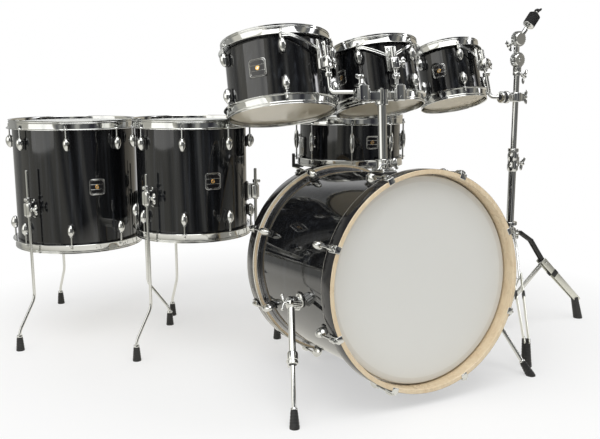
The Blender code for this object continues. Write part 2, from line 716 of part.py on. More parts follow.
def spur(parent, side, word):
    """One spur: a folding tube with its collar, and the leg that slides in it."""
    pivot, foot = spur_points(side)
    way = (foot - pivot).normalized()
    axis = spur_axis(side)
    hinge = Frame(f"spur_{word}_hinge", Matrix.Translation(pivot), parent)
    end = pivot + way * SPUR_TUBE_LENGTH
    half_eye = SPUR_EYE_THICKNESS / 2
    solids = [
        bar(pivot - axis * half_eye, pivot + axis * half_eye, SPUR_EYE_RADIUS, 12),
        bar(pivot, end, SPUR_TUBE_RADIUS, 12),
        bar(end - way * SPUR_COLLAR_LENGTH, end, SPUR_COLLAR_RADIUS, 12),
    ]
    solids += wing_screw(pivot + axis * (half_eye - SUNK), axis, SPUR_LEVER_REACH, way)
    across = axis.cross(way)
    solids += wing_screw(end - way * SPUR_COLLAR_LENGTH / 2 + across * side * SPUR_TUBE_RADIUS,
                         across * side, SPUR_LEVER_REACH, way)
    bore_top = end - way * (SPUR_ROD_INSIDE + SPUR_COLLAR_LENGTH)
    bore = bar(bore_top, end + way * PAST, SPUR_ROD_RADIUS + BORE_PLAY, 8)
    node(f"spur_{word}_tube", joined(solids, [bore]), "chrome", Matrix(), hinge)
    top = end - way * SPUR_ROD_INSIDE
    slide = Frame(f"spur_{word}_slide", Matrix.Translation(top), hinge)
    sole = foot + way * SPUR_SOLE
    rubber = cut_at_floor(rubber_foot(foot - way * FOOT_LENGTH, sole))
    leg = joined([bar(top, foot - way * (FOOT_LENGTH - PAST), SPUR_ROD_RADIUS, 8), rubber])
    node(f"spur_{word}_leg", leg, "chrome", Matrix(), slide)


def rubber_foot(top, bottom):
    """A tapered rubber foot from its neck down to its sole."""
    length = (Vector(bottom) - Vector(top)).length
    profile = [(0, 0), (FOOT_NECK_RADIUS, 0), (FOOT_RADIUS, length * FOOT_WIDEST),
               (FOOT_RADIUS * FOOT_SOLE, length), (0, length)]
    return turned(profile, 10, along(top, bottom))


def bass_drum(root):
    """The whole bass drum with its spurs."""
    bass_shell(root)
    for side, end in ((1, "front"), (-1, "batter")):
        bass_head(root, side, f"bass_{end}_head")
        bass_hoop(root, side, f"bass_{end}_hoop")
    for side, word in ((-1, "left"), (1, "right")):
        spur(root, side, word)


# Tom holder


def ball_place(side):
    """Centre of a holder ball in the kit; side is -1 on the left and 1 on the right."""
    reach = HOLDER_RIGHT if side > 0 else -HOLDER_LEFT
    return bass_place() @ Vector((reach, BASS.radius + HOLDER_RISE, POST_ALONG))


def holder_post(root):
    """The post with its two ball clamps, which slides in the base on the bass drum."""
    place = bass_place() @ Matrix.Translation((0, BASS.radius, POST_ALONG))
    place = place @ Matrix.Rotation(-math.pi / 2, 4, "X")
    centre = HOLDER_RISE
    cup_foot = centre - CUP_DEPTH
    cross = cup_foot + CROSS_BAR_RADIUS
    solids = [bar((0, 0, -POST_INSIDE), (0, 0, cup_foot + SUNK), POST_RADIUS, 16),
              bar((0, 0, cup_foot - HUB_RIM), (0, 0, centre + HUB_RIM), HOLDER_HUB_RADIUS, 12),
              bar((-HOLDER_LEFT, 0, cross), (HOLDER_RIGHT, 0, cross), CROSS_BAR_RADIUS, 8)]
    holes = []
    for reach in (-HOLDER_LEFT, HOLDER_RIGHT):
        cap = centre + BALL_RADIUS + BALL_PLAY
        shift = Matrix.Translation((reach, 0, 0))
        solids.append(bar((reach, 0, cup_foot), (reach, 0, centre - CUP_RIM_DROP), CUP_RADIUS, 12))
        solids.append(block((-CAP_HALF_WIDTH, CUP_WALL_FRONT, cup_foot),
                            (CAP_HALF_WIDTH, CUP_WALL_BACK, cap + CAP_THICKNESS), shift))
        solids.append(block((-CAP_HALF_WIDTH, CUP_WALL_FRONT + SUNK, cap),
                            (CAP_HALF_WIDTH, CAP_BACK, cap + CAP_THICKNESS), shift))
        solids += wing_screw((reach, 0, cap + SUNK), (0, 0, 1), CAP_SCREW_REACH, (1, 0, 0))
        holes.append(ball((reach, 0, centre), BALL_RADIUS + BALL_PLAY, 16))
    slide = Frame("holder_post_slide", place, root)
    node("tom_holder_post", joined(solids, holes), "chrome", place, slide)
    return slide


def arm_route(tom, start):
    """The route of a tom's rod in the kit: from its seat, level, then up beside the drum."""
    angle = math.radians(tom.bracket)
    foot = polar(tom.radius + ARM_OUT, angle)
    rise = tom.place.to_3x3() @ Vector((0, 0, 1))
    base = tom.place @ foot
    low = base + rise * ((start.z - base.z) / rise.z)
    top = base + rise * ARM_TOP
    level = (low - start).normalized()
    return [start, low - level * ARM_BEND, low + (rise - level) * ARM_BEND * BEND_CUT,
            low + rise * ARM_BEND, top]


def tom_arm(tom, side, post):
    """The rod of a middle rack tom with its ball, which tilts in the holder's clamp."""
    centre = ball_place(side)
    tilt = Frame(f"{tom.name}_tilt", Matrix.Translation(centre), post)
    rod = bent_bar(arm_route(tom, centre), ARM_RADIUS)
    mesh = joined([ball(centre, BALL_RADIUS, 12), rod])
    node(f"{tom.name}_arm", mesh, "chrome", Matrix(), tilt)
    return tilt


# Rack toms


def bracket(tom, parent):
    """The suspension bracket: a band hooked over two tension rods, and the rod's clamp."""
    inner = tom.radius + ROD_OUT + ROD_RADIUS + GAP
    outer = inner + BRACKET_THICKNESS
    edge = tom.depth / 2
    angles = [math.radians(tom.phase - 360 / tom.lugs), math.radians(tom.phase)]
    span = angles[1] - angles[0] + 2 * BRACKET_HOOK
    start = angles[0] - BRACKET_HOOK
    band = bmesh.new()
    low, high = edge - BRACKET_BAND_BOTTOM, edge - BRACKET_BAND_TOP
    corners = [band.verts.new((radius, 0, height)) for radius, height in
               ((inner, low), (outer, low), (outer, high), (inner, high))]
    face = band.faces.new(corners)
    bmesh.ops.rotate(band, verts=band.verts, cent=(0, 0, 0),
                     matrix=Matrix.Rotation(start, 3, "Z"))
    bmesh.ops.spin(band, geom=list(face.edges) + corners + [face], cent=(0, 0, 0),
                   axis=(0, 0, 1), angle=span, steps=BRACKET_STEPS * 2)
    bmesh.ops.remove_doubles(band, verts=band.verts, dist=MERGE)
    seen = [f for f in band.faces if len(f.verts) == 4]
    bmesh.ops.recalc_face_normals(band, faces=seen)
    turn = Matrix.Rotation(math.radians(tom.bracket), 4, "Z")
    half_clamp = BRACKET_CLAMP_HEIGHT / 2
    depth = BRACKET_CLAMP_DEPTH / 2
    axis = tom.radius + ARM_OUT
    solids = [
        band,
        block((inner - GAP / 2, -BRACKET_PLATE_WIDTH / 2, -half_clamp),
              (axis - depth + SUNK, BRACKET_PLATE_WIDTH / 2, high), turn),
        block((axis - depth, -BRACKET_CLAMP_WIDTH / 2, -half_clamp),
              (axis + depth, BRACKET_CLAMP_WIDTH / 2, half_clamp), turn),
    ]
    side_way = Vector((-math.sin(math.radians(tom.bracket)), math.cos(math.radians(tom.bracket)), 0))
    start_screw = turn @ Vector((axis + BRACKET_SCREW_OUT, BRACKET_CLAMP_WIDTH / 2 - SUNK, 0))
    solids += wing_screw(start_screw, side_way, BRACKET_SCREW_REACH, (0, 0, 1))
    bore = turn @ Vector((axis, 0, 0))
    reach = Vector((0, 0, half_clamp + PAST))
    hole = bar(bore - reach, bore + reach, ARM_RADIUS + BORE_PLAY, 8)
    node(f"{tom.name}_bracket", joined(solids, [hole]), "chrome", tom.place, parent)


def rack_tom(tom, carrier):
    """A rack tom that slides on its rod."""
    rod = tom.place @ polar(tom.radius + ARM_OUT, math.radians(tom.bracket))
    spot = Matrix.Translation(rod) @ tom.place.to_3x3().to_4x4()
    slide = Frame(f"{tom.name}_slide", spot, carrier)
    shell = joined([shell_body(tom)] + lug_row(tom, 1) + lug_row(tom, -1))
    node(f"{tom.name}_shell", shell, "black_wrap", tom.place, slide)
    heads_and_hoops(tom, slide)
    bracket(tom, slide)


# Floor toms


def leg_block(drum, angle):
    """The clamp block of a leg on the shell, with its screw."""
    turn = Matrix.Rotation(angle, 4, "Z")
    low = drum.clamp_height - drum.z - LEG_BLOCK_HEIGHT / 2
    solids = [block((drum.radius - SHELL_WALL / 2, -LEG_BLOCK_WIDTH / 2, low),
                    (drum.radius + LEG_BLOCK_DEPTH, LEG_BLOCK_WIDTH / 2, low + LEG_BLOCK_HEIGHT),
                    turn)]
    way = turn @ Vector((0, 1, 0))
    seat = turn @ Vector((drum.radius + LEG_OUT, LEG_BLOCK_WIDTH / 2 - SUNK,
                          low + LEG_BLOCK_HEIGHT / 2))
    return solids + wing_screw(seat, way, LEG_SCREW_REACH, (0, 0, 1))


def floor_leg(drum, number, root):
    """One leg of a floor tom: a rod, bent out below the shell, with a rubber foot."""
    angle = math.radians(drum.rods[number])
    out = drum.radius + LEG_OUT
    centre = Vector((drum.x, drum.y, 0))
    top = centre + polar(out, angle, drum.rod_top)
    bend = centre + polar(out, angle, LEG_BEND_HEIGHT)
    foot = centre + polar(drum.foot_reach, angle)
    way = (foot - bend).normalized()
    up = Vector((0, 0, 1))
    route = [top, bend + up * LEG_BEND, bend + (up + way) * LEG_BEND / 4, bend + way * LEG_BEND,
             foot - way * (FOOT_LENGTH - PAST)]
    rubber = cut_at_floor(rubber_foot(foot - way * FOOT_LENGTH, foot + way * PAST))
    slide = Frame(f"{drum.name}_leg_{number + 1}_slide", Matrix.Translation(top), root)
    mesh = joined([bent_bar(route, LEG_RADIUS), rubber])
    node(f"{drum.name}_leg_{number + 1}", mesh, "chrome", Matrix(), slide)


def floor_tom(drum, root):
    """A floor tom on its three legs."""
    solids = [shell_body(drum)] + lug_row(drum, 1) + lug_row(drum, -1)
    holes = []
    for number, degrees in enumerate(drum.rods):
        angle = math.radians(degrees)
        solids += leg_block(drum, angle)
        spot = polar(drum.radius + LEG_OUT, angle, drum.clamp_height - drum.z)
        reach = Vector((0, 0, LEG_BLOCK_HEIGHT))
        holes.append(bar(spot - reach, spot + reach, LEG_RADIUS + BORE_PLAY, 8))
        floor_leg(drum, number, root)
    node(f"{drum.name}_shell", joined(solids, holes), "black_wrap", drum.place, root)
    heads_and_hoops(drum, root)


# Snare drum and its stand


def snare_shell(parent):
    """The snare's shell with its tube lugs, strainer body and butt plate."""
    solids = [shell_body(SNARE)]
    half = TUBE_LUG_LENGTH / 2
    for angle in lug_angles(SNARE):
        turn = Matrix.Rotation(angle, 4, "Z")
        axis = SNARE.radius + ROD_OUT
        solids.append(bar(polar(axis, angle, -half), polar(axis, angle, half), TUBE_LUG_RADIUS, 6))
        solids.append(block((SNARE.radius - SHELL_WALL / 2, -TUBE_LUG_WEB / 2,
                             -TUBE_LUG_WEB_HEIGHT / 2),
                            (axis, TUBE_LUG_WEB / 2, TUBE_LUG_WEB_HEIGHT / 2), turn))
    turn = Matrix.Rotation(STRAINER_ANGLE, 4, "Z")
    low = STRAINER_FOOT - SNARE.depth / 2
    opposite = Matrix.Rotation(math.pi, 4, "Z")
    for depth, place in ((STRAINER_DEPTH, turn), (BUTT_DEPTH, turn @ opposite)):
        solids.append(block((SNARE.radius - SHELL_WALL / 2, -STRAINER_WIDTH / 2, low),
                            (SNARE.radius + depth, STRAINER_WIDTH / 2, low + STRAINER_HEIGHT),
                            place))
    node("snare_shell", joined(solids), "black_wrap", SNARE.place, parent)


def lever_pivot():
    """The pivot of the strainer's lever in the snare's frame."""
    height = STRAINER_FOOT + LEVER_PIVOT_HEIGHT - SNARE.depth / 2
    out = SNARE.radius + STRAINER_DEPTH + GAP + LEVER_BARREL_RADIUS
    return polar(out, STRAINER_ANGLE, height)


def strainer_lever(parent):
    """The lever that lets the wires go."""
    pivot = lever_pivot()
    turn = Matrix.Translation(pivot) @ Matrix.Rotation(STRAINER_ANGLE, 4, "Z")
    side = Vector((0, LEVER_WIDTH / 2, 0))
    solids = [bar(turn @ -side, turn @ side, LEVER_BARREL_RADIUS, 10),
              block((-LEVER_THICKNESS / 2, -LEVER_WIDTH / 2, 0),
                    (LEVER_THICKNESS / 2, LEVER_WIDTH / 2, LEVER_LENGTH), turn)]
    hinge = Frame("snare_lever_hinge", SNARE.place @ Matrix.Translation(pivot), parent)
    node("snare_strainer_lever", joined(solids), "chrome", SNARE.place, hinge)


def snare_wires(parent):
    """The wires, a thin band under the bottom head."""
    top = -SNARE.depth / 2 - 2 * GAP - HEAD_FILM
    turn = Matrix.Rotation(STRAINER_ANGLE, 4, "Z")
    mesh = joined([block((-WIRES_LENGTH / 2, -WIRES_WIDTH / 2, top - WIRES_THICKNESS),
                         (WIRES_LENGTH / 2, WIRES_WIDTH / 2, top), turn)])
    node("snare_wires", mesh, "snare_steel", SNARE.place, parent)


def tripod_leg(hub, reach, angle, strips, brace_from):
    """One leg of a tripod: strips from the hub to a rubber boot, and a brace to the tube."""
    foot = Vector((hub.x, hub.y, 0)) + polar(reach, angle)
    top = hub + polar(LEG_STRIP_ROOT, angle)
    way = (foot - top).normalized()
    across = Vector((-math.sin(angle), math.cos(angle), 0))
    boot_top = foot - way * BOOT_LENGTH
    rise = way.cross(across)
    solids = []
    for shift in strips:
        start = top + across * shift
        end = boot_top + across * shift * LEG_STRIP_CLOSING + way * PAST
        line = (end - start).normalized()
        flat = Matrix.Translation(start) @ Matrix((line, across, rise)).transposed().to_4x4()
        solids.append(block((0, -LEG_STRIP_THICKNESS / 2, -LEG_STRIP_WIDTH / 2),
                            ((end - start).length, LEG_STRIP_THICKNESS / 2, LEG_STRIP_WIDTH / 2),
                            flat))
    sole = BOOT_LENGTH + BOOT_RADIUS
    profile = [(0, 0), (BOOT_NECK_RADIUS, 0), (BOOT_RADIUS, BOOT_LENGTH * FOOT_WIDEST),
               (BOOT_NECK_RADIUS, sole), (0, sole)]
    solids.append(cut_at_floor(turned(profile, 8, along(boot_top, foot))))
    middle = top + (boot_top - top) * BRACE_JOINS
    solids.append(bar(brace_from, middle, BRACE_RADIUS, 6))
    return solids


def snare_stand(root):
    """The snare's stand: a tripod with its tube, and the basket that slides in it."""
    centre = Vector((SNARE.x, SNARE.y, 0))
    hub = centre + Vector((0, 0, SNARE_STAND_HUB_HEIGHT))
    top = centre + Vector((0, 0, SNARE_STAND_TUBE_TOP))
    up = Vector((0, 0, 1))
    solids = [bar(centre + up * SNARE_STAND_TUBE_FOOT, top, STAND_TUBE_RADIUS, 12),
              bar(top - up * SNARE_STAND_COLLAR, top, STAND_COLLAR_RADIUS, 12),
              bar(hub - up * HUB_BELOW, hub + up * HUB_ABOVE, HUB_RADIUS, 12)]
    screw = top + Vector((STAND_COLLAR_RADIUS - SUNK, 0, -SNARE_STAND_COLLAR / 2))
    solids += wing_screw(screw, (1, 0, 0), STAND_SCREW_REACH, (0, 0, 1))
    for degrees in BASKET_ARM_ANGLES:
        solids += tripod_leg(hub, SNARE_STAND_LEG_REACH, math.radians(degrees), (0.0,),
                             centre + up * SNARE_STAND_BRACE_HEIGHT)
    bore = bar(centre + up * SNARE_STAND_BORE_FOOT, top + up * PAST,
               STAND_INNER_RADIUS + BORE_PLAY, 12)
    node("snare_stand_base", joined(solids, [bore]), "chrome", Matrix(), root)
    slide = Frame("snare_basket_slide", Matrix.Translation(top), root)
    seat = SNARE.z - SNARE.depth / 2 - RIM_STAND
    basket_hub = centre + up * BASKET_HUB_HEIGHT
    solids = [bar(centre + up * BASKET_TUBE_FOOT, basket_hub, STAND_INNER_RADIUS, 12),
              bar(basket_hub - up * HUB_BELOW, basket_hub + up * HUB_ABOVE, BASKET_HUB_RADIUS, 12)]
    inner = SNARE.radius - PAD_INSET
    wall = SNARE.radius + FLANGE_OUT + 2 * GAP
    pad_low = seat - GAP - PAD_HEIGHT
    for degrees in BASKET_ARM_ANGLES:
        angle = math.radians(degrees)
        turn = Matrix.Translation(centre) @ Matrix.Rotation(angle, 4, "Z")
        route = [basket_hub, centre + polar(inner * BASKET_BEND, angle, pad_low - BASKET_DROP),
                 centre + polar(wall, angle, pad_low + SUNK)]
        solids.append(bent_bar(route, BASKET_ARM_RADIUS))
        solids.append(block((inner, -GRIP_WIDTH / 2, pad_low),
                            (wall + GRIP_THICKNESS, GRIP_WIDTH / 2, seat - GAP), turn))
        solids.append(block((wall, -GRIP_WIDTH / 2, pad_low),
                            (wall + GRIP_THICKNESS, GRIP_WIDTH / 2, seat + GRIP_RISE), turn))
    node("snare_stand_basket", joined(solids), "chrome", Matrix(), slide)
    return slide


def snare(root):
    """The snare drum in the basket of its stand."""
    slide = snare_stand(root)
    snare_shell(slide)
    heads_and_hoops(SNARE, slide, snare_side=True)
    snare_wires(slide)
    strainer_lever(slide)


# Cymbal stand


def pole(height):
    """A point on the cymbal stand's pole."""
    return Vector((STAND_X, STAND_Y, height))


def stand_base(root):
    """Tripod, lower tube and its collar."""
    hub = pole(STAND_HUB_HEIGHT)
    lower_hub = pole(STAND_LOWER_HUB_HEIGHT)
    up = Vector((0, 0, 1))
    solids = [bar(pole(STAND_TUBE_FOOT), pole(STAND_COLLAR_BOTTOM + PAST), STAND_TUBE_RADIUS, 12),
              bar(pole(STAND_COLLAR_BOTTOM), pole(STAND_COLLAR_TOP), STAND_COLLAR_RADIUS, 12),
              bar(hub - up * HUB_BELOW, hub + up * HUB_ABOVE, HUB_RADIUS, 12),
              bar(lower_hub - up * LOWER_HUB_HALF, lower_hub + up * LOWER_HUB_HALF,
                  LOWER_HUB_RADIUS, 12)]
    middle = (STAND_COLLAR_BOTTOM + STAND_COLLAR_TOP) / 2
    solids += wing_screw(pole(middle) + Vector((STAND_COLLAR_RADIUS - SUNK, 0, 0)), (1, 0, 0),
                         STAND_SCREW_REACH, (0, 0, 1))
    solids += wing_screw(hub + Vector((0, SUNK - HUB_RADIUS, 0)), (0, -1, 0), STAND_SCREW_REACH,
                         (0, 0, 1))
    for degrees in STAND_LEG_ANGLES:
        angle = math.radians(degrees)
        solids += tripod_leg(hub, STAND_LEG_REACH, angle, (-LEG_STRIP_SPREAD, LEG_STRIP_SPREAD),
                             lower_hub + polar(STAND_TUBE_RADIUS, angle))
    bore = bar(pole(STAND_BORE_FOOT), pole(STAND_COLLAR_TOP + PAST),
               STAND_INNER_RADIUS + BORE_PLAY, 12)
    node("cymbal_stand_base", joined(solids, [bore]), "chrome", Matrix(), root)


def toothed_disc(height, side):
    """One half of a toothed joint; side 1 is behind the pole and -1 in front of it."""
    near = pole(height) + Vector((0, side * GAP / 2, 0))
    far = pole(height) + Vector((0, side * TILTER_DISC_THICKNESS, 0))
    return bar(near, far, TILTER_DISC_RADIUS, 16)


def stand_top(root):
    """Middle tube, tilter, cymbal seat and the clamp that holds the small tom."""
    slide = Frame("cymbal_tube_slide", Matrix.Translation(pole(STAND_COLLAR_TOP)), root)
    collar = STAND_JOINT_HEIGHT - TILTER_DISC_RADIUS
    solids = [bar(pole(STAND_MIDDLE_FOOT), pole(collar), STAND_INNER_RADIUS, 12),
              bar(pole(collar - TUBE_COLLAR_LENGTH), pole(collar - TUBE_COLLAR_TOP),
                  TUBE_COLLAR_RADIUS, 12),
              block(pole(collar - SUNK) - Vector((TILTER_HALF_WIDTH, TILTER_DISC_THICKNESS, 0)),
                    pole(collar + TILTER_STEM) + Vector((TILTER_HALF_WIDTH, -GAP / 2, 0))),
              toothed_disc(STAND_JOINT_HEIGHT, -1)]
    screw = pole(collar - TUBE_COLLAR_LENGTH / 2) + Vector((TUBE_COLLAR_RADIUS - SUNK, 0, 0))
    solids += wing_screw(screw, (1, 0, -0.35), STAND_SCREW_REACH, (0, 1, 0))
    node("cymbal_stand_tube", joined(solids), "chrome", Matrix(), slide)

    upper = STAND_JOINT_HEIGHT + TILTER_LENGTH
    lower_hinge = Frame("tilter_lower_hinge", Matrix.Translation(pole(STAND_JOINT_HEIGHT)), slide)
    low = pole(STAND_JOINT_HEIGHT) + Vector((-TILTER_HALF_WIDTH, 2 * GAP, 0))
    high = pole(upper) + Vector((TILTER_HALF_WIDTH, TILTER_DISC_THICKNESS - GAP, 0))
    solids = [toothed_disc(STAND_JOINT_HEIGHT, 1), toothed_disc(upper, 1), block(low, high)]
    screw = pole(upper - TILTER_SCREW_DROP)
    screw += Vector((-TILTER_SCREW_OUT, TILTER_DISC_THICKNESS / 2, 0))
    solids += wing_screw(screw, (-1, 0, 0.5), STAND_SCREW_REACH, (0, 1, 0))
    node("cymbal_tilter", joined(solids), "chrome", Matrix(), lower_hinge)

    upper_hinge = Frame("tilter_upper_hinge", Matrix.Translation(pole(upper)), lower_hinge)
    way = Vector((math.sin(SEAT_TILT), 0, math.cos(SEAT_TILT)))
    start = pole(upper) + Vector((0, -TILTER_DISC_THICKNESS / 2, 0))
    tip = start + way * SEAT_ROD_LENGTH
    felt = [(0, 0), (FELT_RADIUS * FELT_NECK, 0), (FELT_RADIUS, FELT_SHOULDER),
            (FELT_RADIUS, FELT_STACK), (0, FELT_STACK)]
    solids = [toothed_disc(upper, -1),
              bar(start, tip, SEAT_ROD_RADIUS, 8),
              bar(start + way * SLEEVE_BOTTOM, start + way * SLEEVE_TOP, SLEEVE_RADIUS, 8),
              turned(felt, 12, along(start + way * FELT_FOOT, tip))]
    solids += wing_screw(tip - way * NUT_SUNK, way, NUT_REACH, (0, 1, 0), stem=NUT_STEM)
    node("cymbal_seat", joined(solids), "rubber", Matrix(), upper_hinge)
    tom_clamp(slide)


def clamp_socket():
    """Where the small tom's rod starts, beside the pole."""
    return pole(CLAMP_HEIGHT) + Vector((-CLAMP_REACH, 0, 0))


def tom_clamp(slide):
    """The clamp on the cymbal stand with the rod of the small tom."""
    swivel = Frame("tom_clamp_swivel", Matrix.Translation(pole(CLAMP_HEIGHT)), slide)
    socket = clamp_socket()
    half = CLAMP_BLOCK / 2
    centre = pole(CLAMP_HEIGHT)
    solids = [block(socket - Vector((SOCKET_HALF, SOCKET_HALF, half)),
                    centre + Vector((half + CLAMP_BACK, half, half))),
              ball(socket, SOCKET_RADIUS, 12),
              bent_bar(arm_route(TOM8, socket), ARM_RADIUS)]
    screw = centre + Vector((half + CLAMP_BACK - SUNK, 0, 0))
    solids += wing_screw(screw, (1, 0, 0), CLAMP_SCREW_REACH, (0, 0, 1))
    reach = Vector((0, 0, CLAMP_BLOCK))
    hole = bar(centre - reach, centre + reach, STAND_INNER_RADIUS + BORE_PLAY, 12)
    node("tom8_clamp", joined(solids, [hole]), "chrome", Matrix(), swivel)
    rack_tom(TOM8, swivel)


def main():
    """Builds the kit."""
    clear_scene()
    root = Frame("drum_kit", Matrix())
    root.empty.location = (-FOOTPRINT_X, -FOOTPRINT_Y, 0)
    bass_drum(root)
    post = holder_post(root)
    for tom, side in ((TOM12, -1), (TOM10, 1)):
        rack_tom(tom, tom_arm(tom, side, post))
    for drum in (FLOOR16, FLOOR14):
        floor_tom(drum, root)
    snare(root)
    stand_base(root)
    stand_top(root)


main()
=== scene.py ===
"""Looks of a seven-drum kit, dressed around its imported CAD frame.

Places are counted from the floor under the middle of the bass drum, as the drums were set out, and
KIT_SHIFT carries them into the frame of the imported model. Metres, +Z up, the player at +Y.
"""
import logging
from collections.abc import Callable, Sequence
from dataclasses import dataclass
from enum import Enum
from math import atan2, ceil, copysign, cos, hypot, pi, radians, sin

import bmesh
import bpy
from bmesh import ops
from bmesh.types import BMesh, BMEdge, BMVert
from bpy.types import Material, Node, NodeSocket, NodeTree
from mathutils import Matrix, Vector


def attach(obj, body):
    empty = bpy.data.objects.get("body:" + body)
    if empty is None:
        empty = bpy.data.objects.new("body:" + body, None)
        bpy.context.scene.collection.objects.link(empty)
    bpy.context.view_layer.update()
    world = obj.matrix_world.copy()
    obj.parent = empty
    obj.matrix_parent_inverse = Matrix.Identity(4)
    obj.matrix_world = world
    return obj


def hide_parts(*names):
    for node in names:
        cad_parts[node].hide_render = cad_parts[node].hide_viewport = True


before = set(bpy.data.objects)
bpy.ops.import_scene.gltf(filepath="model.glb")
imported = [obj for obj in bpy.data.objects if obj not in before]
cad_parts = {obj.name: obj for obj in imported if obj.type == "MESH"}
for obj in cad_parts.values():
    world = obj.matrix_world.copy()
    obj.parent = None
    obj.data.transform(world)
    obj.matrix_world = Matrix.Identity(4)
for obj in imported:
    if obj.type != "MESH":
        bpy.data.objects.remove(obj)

log = logging.getLogger("drum_kit")

KIT_SHIFT = Vector((-0.0137, -0.4472, 0))
INCH = 0.0254
MM = 0.001
MERGE = 0.00001
UP = Vector((0, 0, 1))
OUTWARD = Matrix.Rotation(pi / 2, 4, "Y")
BEVEL_PROFILE = 0.5
NO_MATERIAL = -1
SMOOTH_ANGLE = radians(35)

# Sizes that the hardware of every drum shares. Radii are counted from the shell's outer face.
SHELL_WALL = 0.006
WRAP_THICKNESS = 0.0008
RIM_STAND = 0.011
ROD_OUT = 0.0125
ROD_RADIUS = 0.0027
FLANGE_OUT = 0.0175
LUG_LENGTH = 0.042
LUG_OUT = 0.0115
LUG_HALF_REACH = 0.0145
LUG_HALF_WIDTH = 0.0118
ARM_RADIUS = 0.0062
LOCK_DROP = 0.0355
LOCK_HEADING = -120.0
ARM_OUT = 0.036
ARM_TOP = 0.048
FOOT_LENGTH = 0.046
FOOT_RADIUS = 0.013

Sockets = dict[str, NodeSocket]
Route = Sequence[Vector]
Profile = Sequence[tuple[float, float]]
Corner = tuple[float, float, float]


class End(Enum):
    """The two ends of a drum."""

    BATTER = 1
    BOTTOM = -1

    @property
    def word(self) -> str:
        """The end's word in the names of nodes."""
        return self.name.lower()


class Side(Enum):
    LEFT = -1
    RIGHT = 1

    @property
    def word(self) -> str:
        """The side's word in the names of nodes."""
        return self.name.lower()


class Shape:
    """A mesh in the making, put together from the solids of bmesh operators."""

    def __init__(self) -> None:
        """Starts without any solid."""
        self.mesh = bmesh.new()

    def add(self, solid: BMesh, place: Matrix | None = None, material: int = 0) -> "Shape":
        """Takes a solid in, moved by a matrix.

        Args:
            solid: the solid, which is used up.
            place: where it goes.
            material: index of its material on the finished piece.

        Returns:
            The shape itself, so that calls can follow each other.
        """
        if place is not None:
            ops.transform(solid, matrix=place, verts=solid.verts)
            if place.determinant() < 0:
                ops.reverse_faces(solid, faces=solid.faces)
        for face in solid.faces:
            face.material_index = material
        carrier = bpy.data.meshes.new("carrier")
        solid.to_mesh(carrier)
        solid.free()
        self.mesh.from_mesh(carrier)
        bpy.data.meshes.remove(carrier)
        return self

    def box(self, low: Corner, high: Corner, bevel: float, place: Matrix, material: int = 0,
            segments: int = 3) -> "Shape":
        """Takes in a box with rounded edges.

        Args:
            low: its lowest corner.
            high: its highest corner.
            bevel: width of the rounding.
            place: where it goes.
            material: index of its material.
            segments: steps of the rounding.

        Returns:
            The shape itself.
        """
        return self.add(soft_box(Vector(low), Vector(high), bevel, segments), place, material)


def kit(x: float, y: float, z: float) -> Vector:
    return Vector((x, y, z)) + KIT_SHIFT


def polar(radius: float, angle: float, height: float = 0.0) -> Vector:
    """A point from its radius, its angle in radians and its height."""
    return Vector((radius * cos(angle), radius * sin(angle), height))


def spin_z(angle: float) -> Matrix:
    """A turn about +Z."""
    return Matrix.Rotation(angle, 4, "Z")


def facing(place: Matrix, x: float, y: float, z: float) -> Vector:
    """A direction of a frame, in the frame around it."""
    return place.to_3x3() @ Vector((x, y, z))


def aim(start: Vector, way: Vector, side: Vector | None = None) -> Matrix:
    """The matrix that puts +Z along a way, at a start.

    Args:
        start: where the origin goes.
        way: where +Z points.
        side: where +X points, as nearly as it can.

    Returns:
        The matrix.
    """
    z = way.normalized()
    x = side if side is not None else z.orthogonal()
    x = (x - z * x.dot(z)).normalized()
    turn = Matrix((x, z.cross(x), z)).transposed().to_4x4()
    return move_to(start) @ turn


def move_to(point: Vector) -> Matrix:
    """A move that carries the origin to a point."""
    return Matrix.Translation(point)


def move(x: float, y: float, z: float) -> Matrix:
    """A move along the axes."""
    return Matrix.Translation((x, y, z))


def mm(points: Profile, out: float = 0.0, up: float = 0.0) -> list[tuple[float, float]]:
    """An outline whose points are given in millimetres.

    Args:
        points: its (radius, height) points in millimetres.
        out: metres that are added to every radius.
        up: metres that are added to every height.

    Returns:
        The outline in metres.
    """
    return [(out + radius * MM, up + height * MM) for radius, height in points]


def lathe(profile: Profile, sides: int) -> BMesh:
    """A solid of revolution about +Z.

    Args:
        profile: closed outline of (radius, height) points.
        sides: steps of the full turn.

    Returns:
        The solid.
    """
    solid = bmesh.new()
    corners = [solid.verts.new((radius, 0, height)) for radius, height in profile]
    edges = [solid.edges.new((corner, corners[i - 1])) for i, corner in enumerate(corners)]
    edges = [edge for edge in edges if max(vert.co.x for vert in edge.verts) > 0]
    ops.spin(solid, geom=corners + edges, cent=(0, 0, 0), axis=(0, 0, 1), angle=2 * pi, steps=sides,
        use_merge=True)
    ops.delete(solid, geom=[edge for edge in solid.edges if not edge.link_faces], context="EDGES")
    ops.remove_doubles(solid, verts=solid.verts, dist=MERGE)
    ops.recalc_face_normals(solid, faces=solid.faces)
    return solid


def rod(start: Vector, end: Vector, radius: float, sides: int = 20, chamfer: float = 0.0006,
        end_radius: float | None = None) -> BMesh:
    """A round bar with broken edges from one point to another.

    Args:
        start: centre of its first end.
        end: centre of its last end.
        radius: radius of the first end.
        sides: steps round it.
        chamfer: width of the broken edges.
        end_radius: radius of the last end, where it isn't the same.

    Returns:
        The solid.
    """
    length = (end - start).length
    last = radius if end_radius is None else end_radius
    solid = lathe([(0, 0), (radius - chamfer, 0), (radius, chamfer), (last, length - chamfer),
        (last - chamfer, length), (0, length)], sides)
    ops.transform(solid, matrix=aim(start, end - start), verts=solid.verts)
    return solid


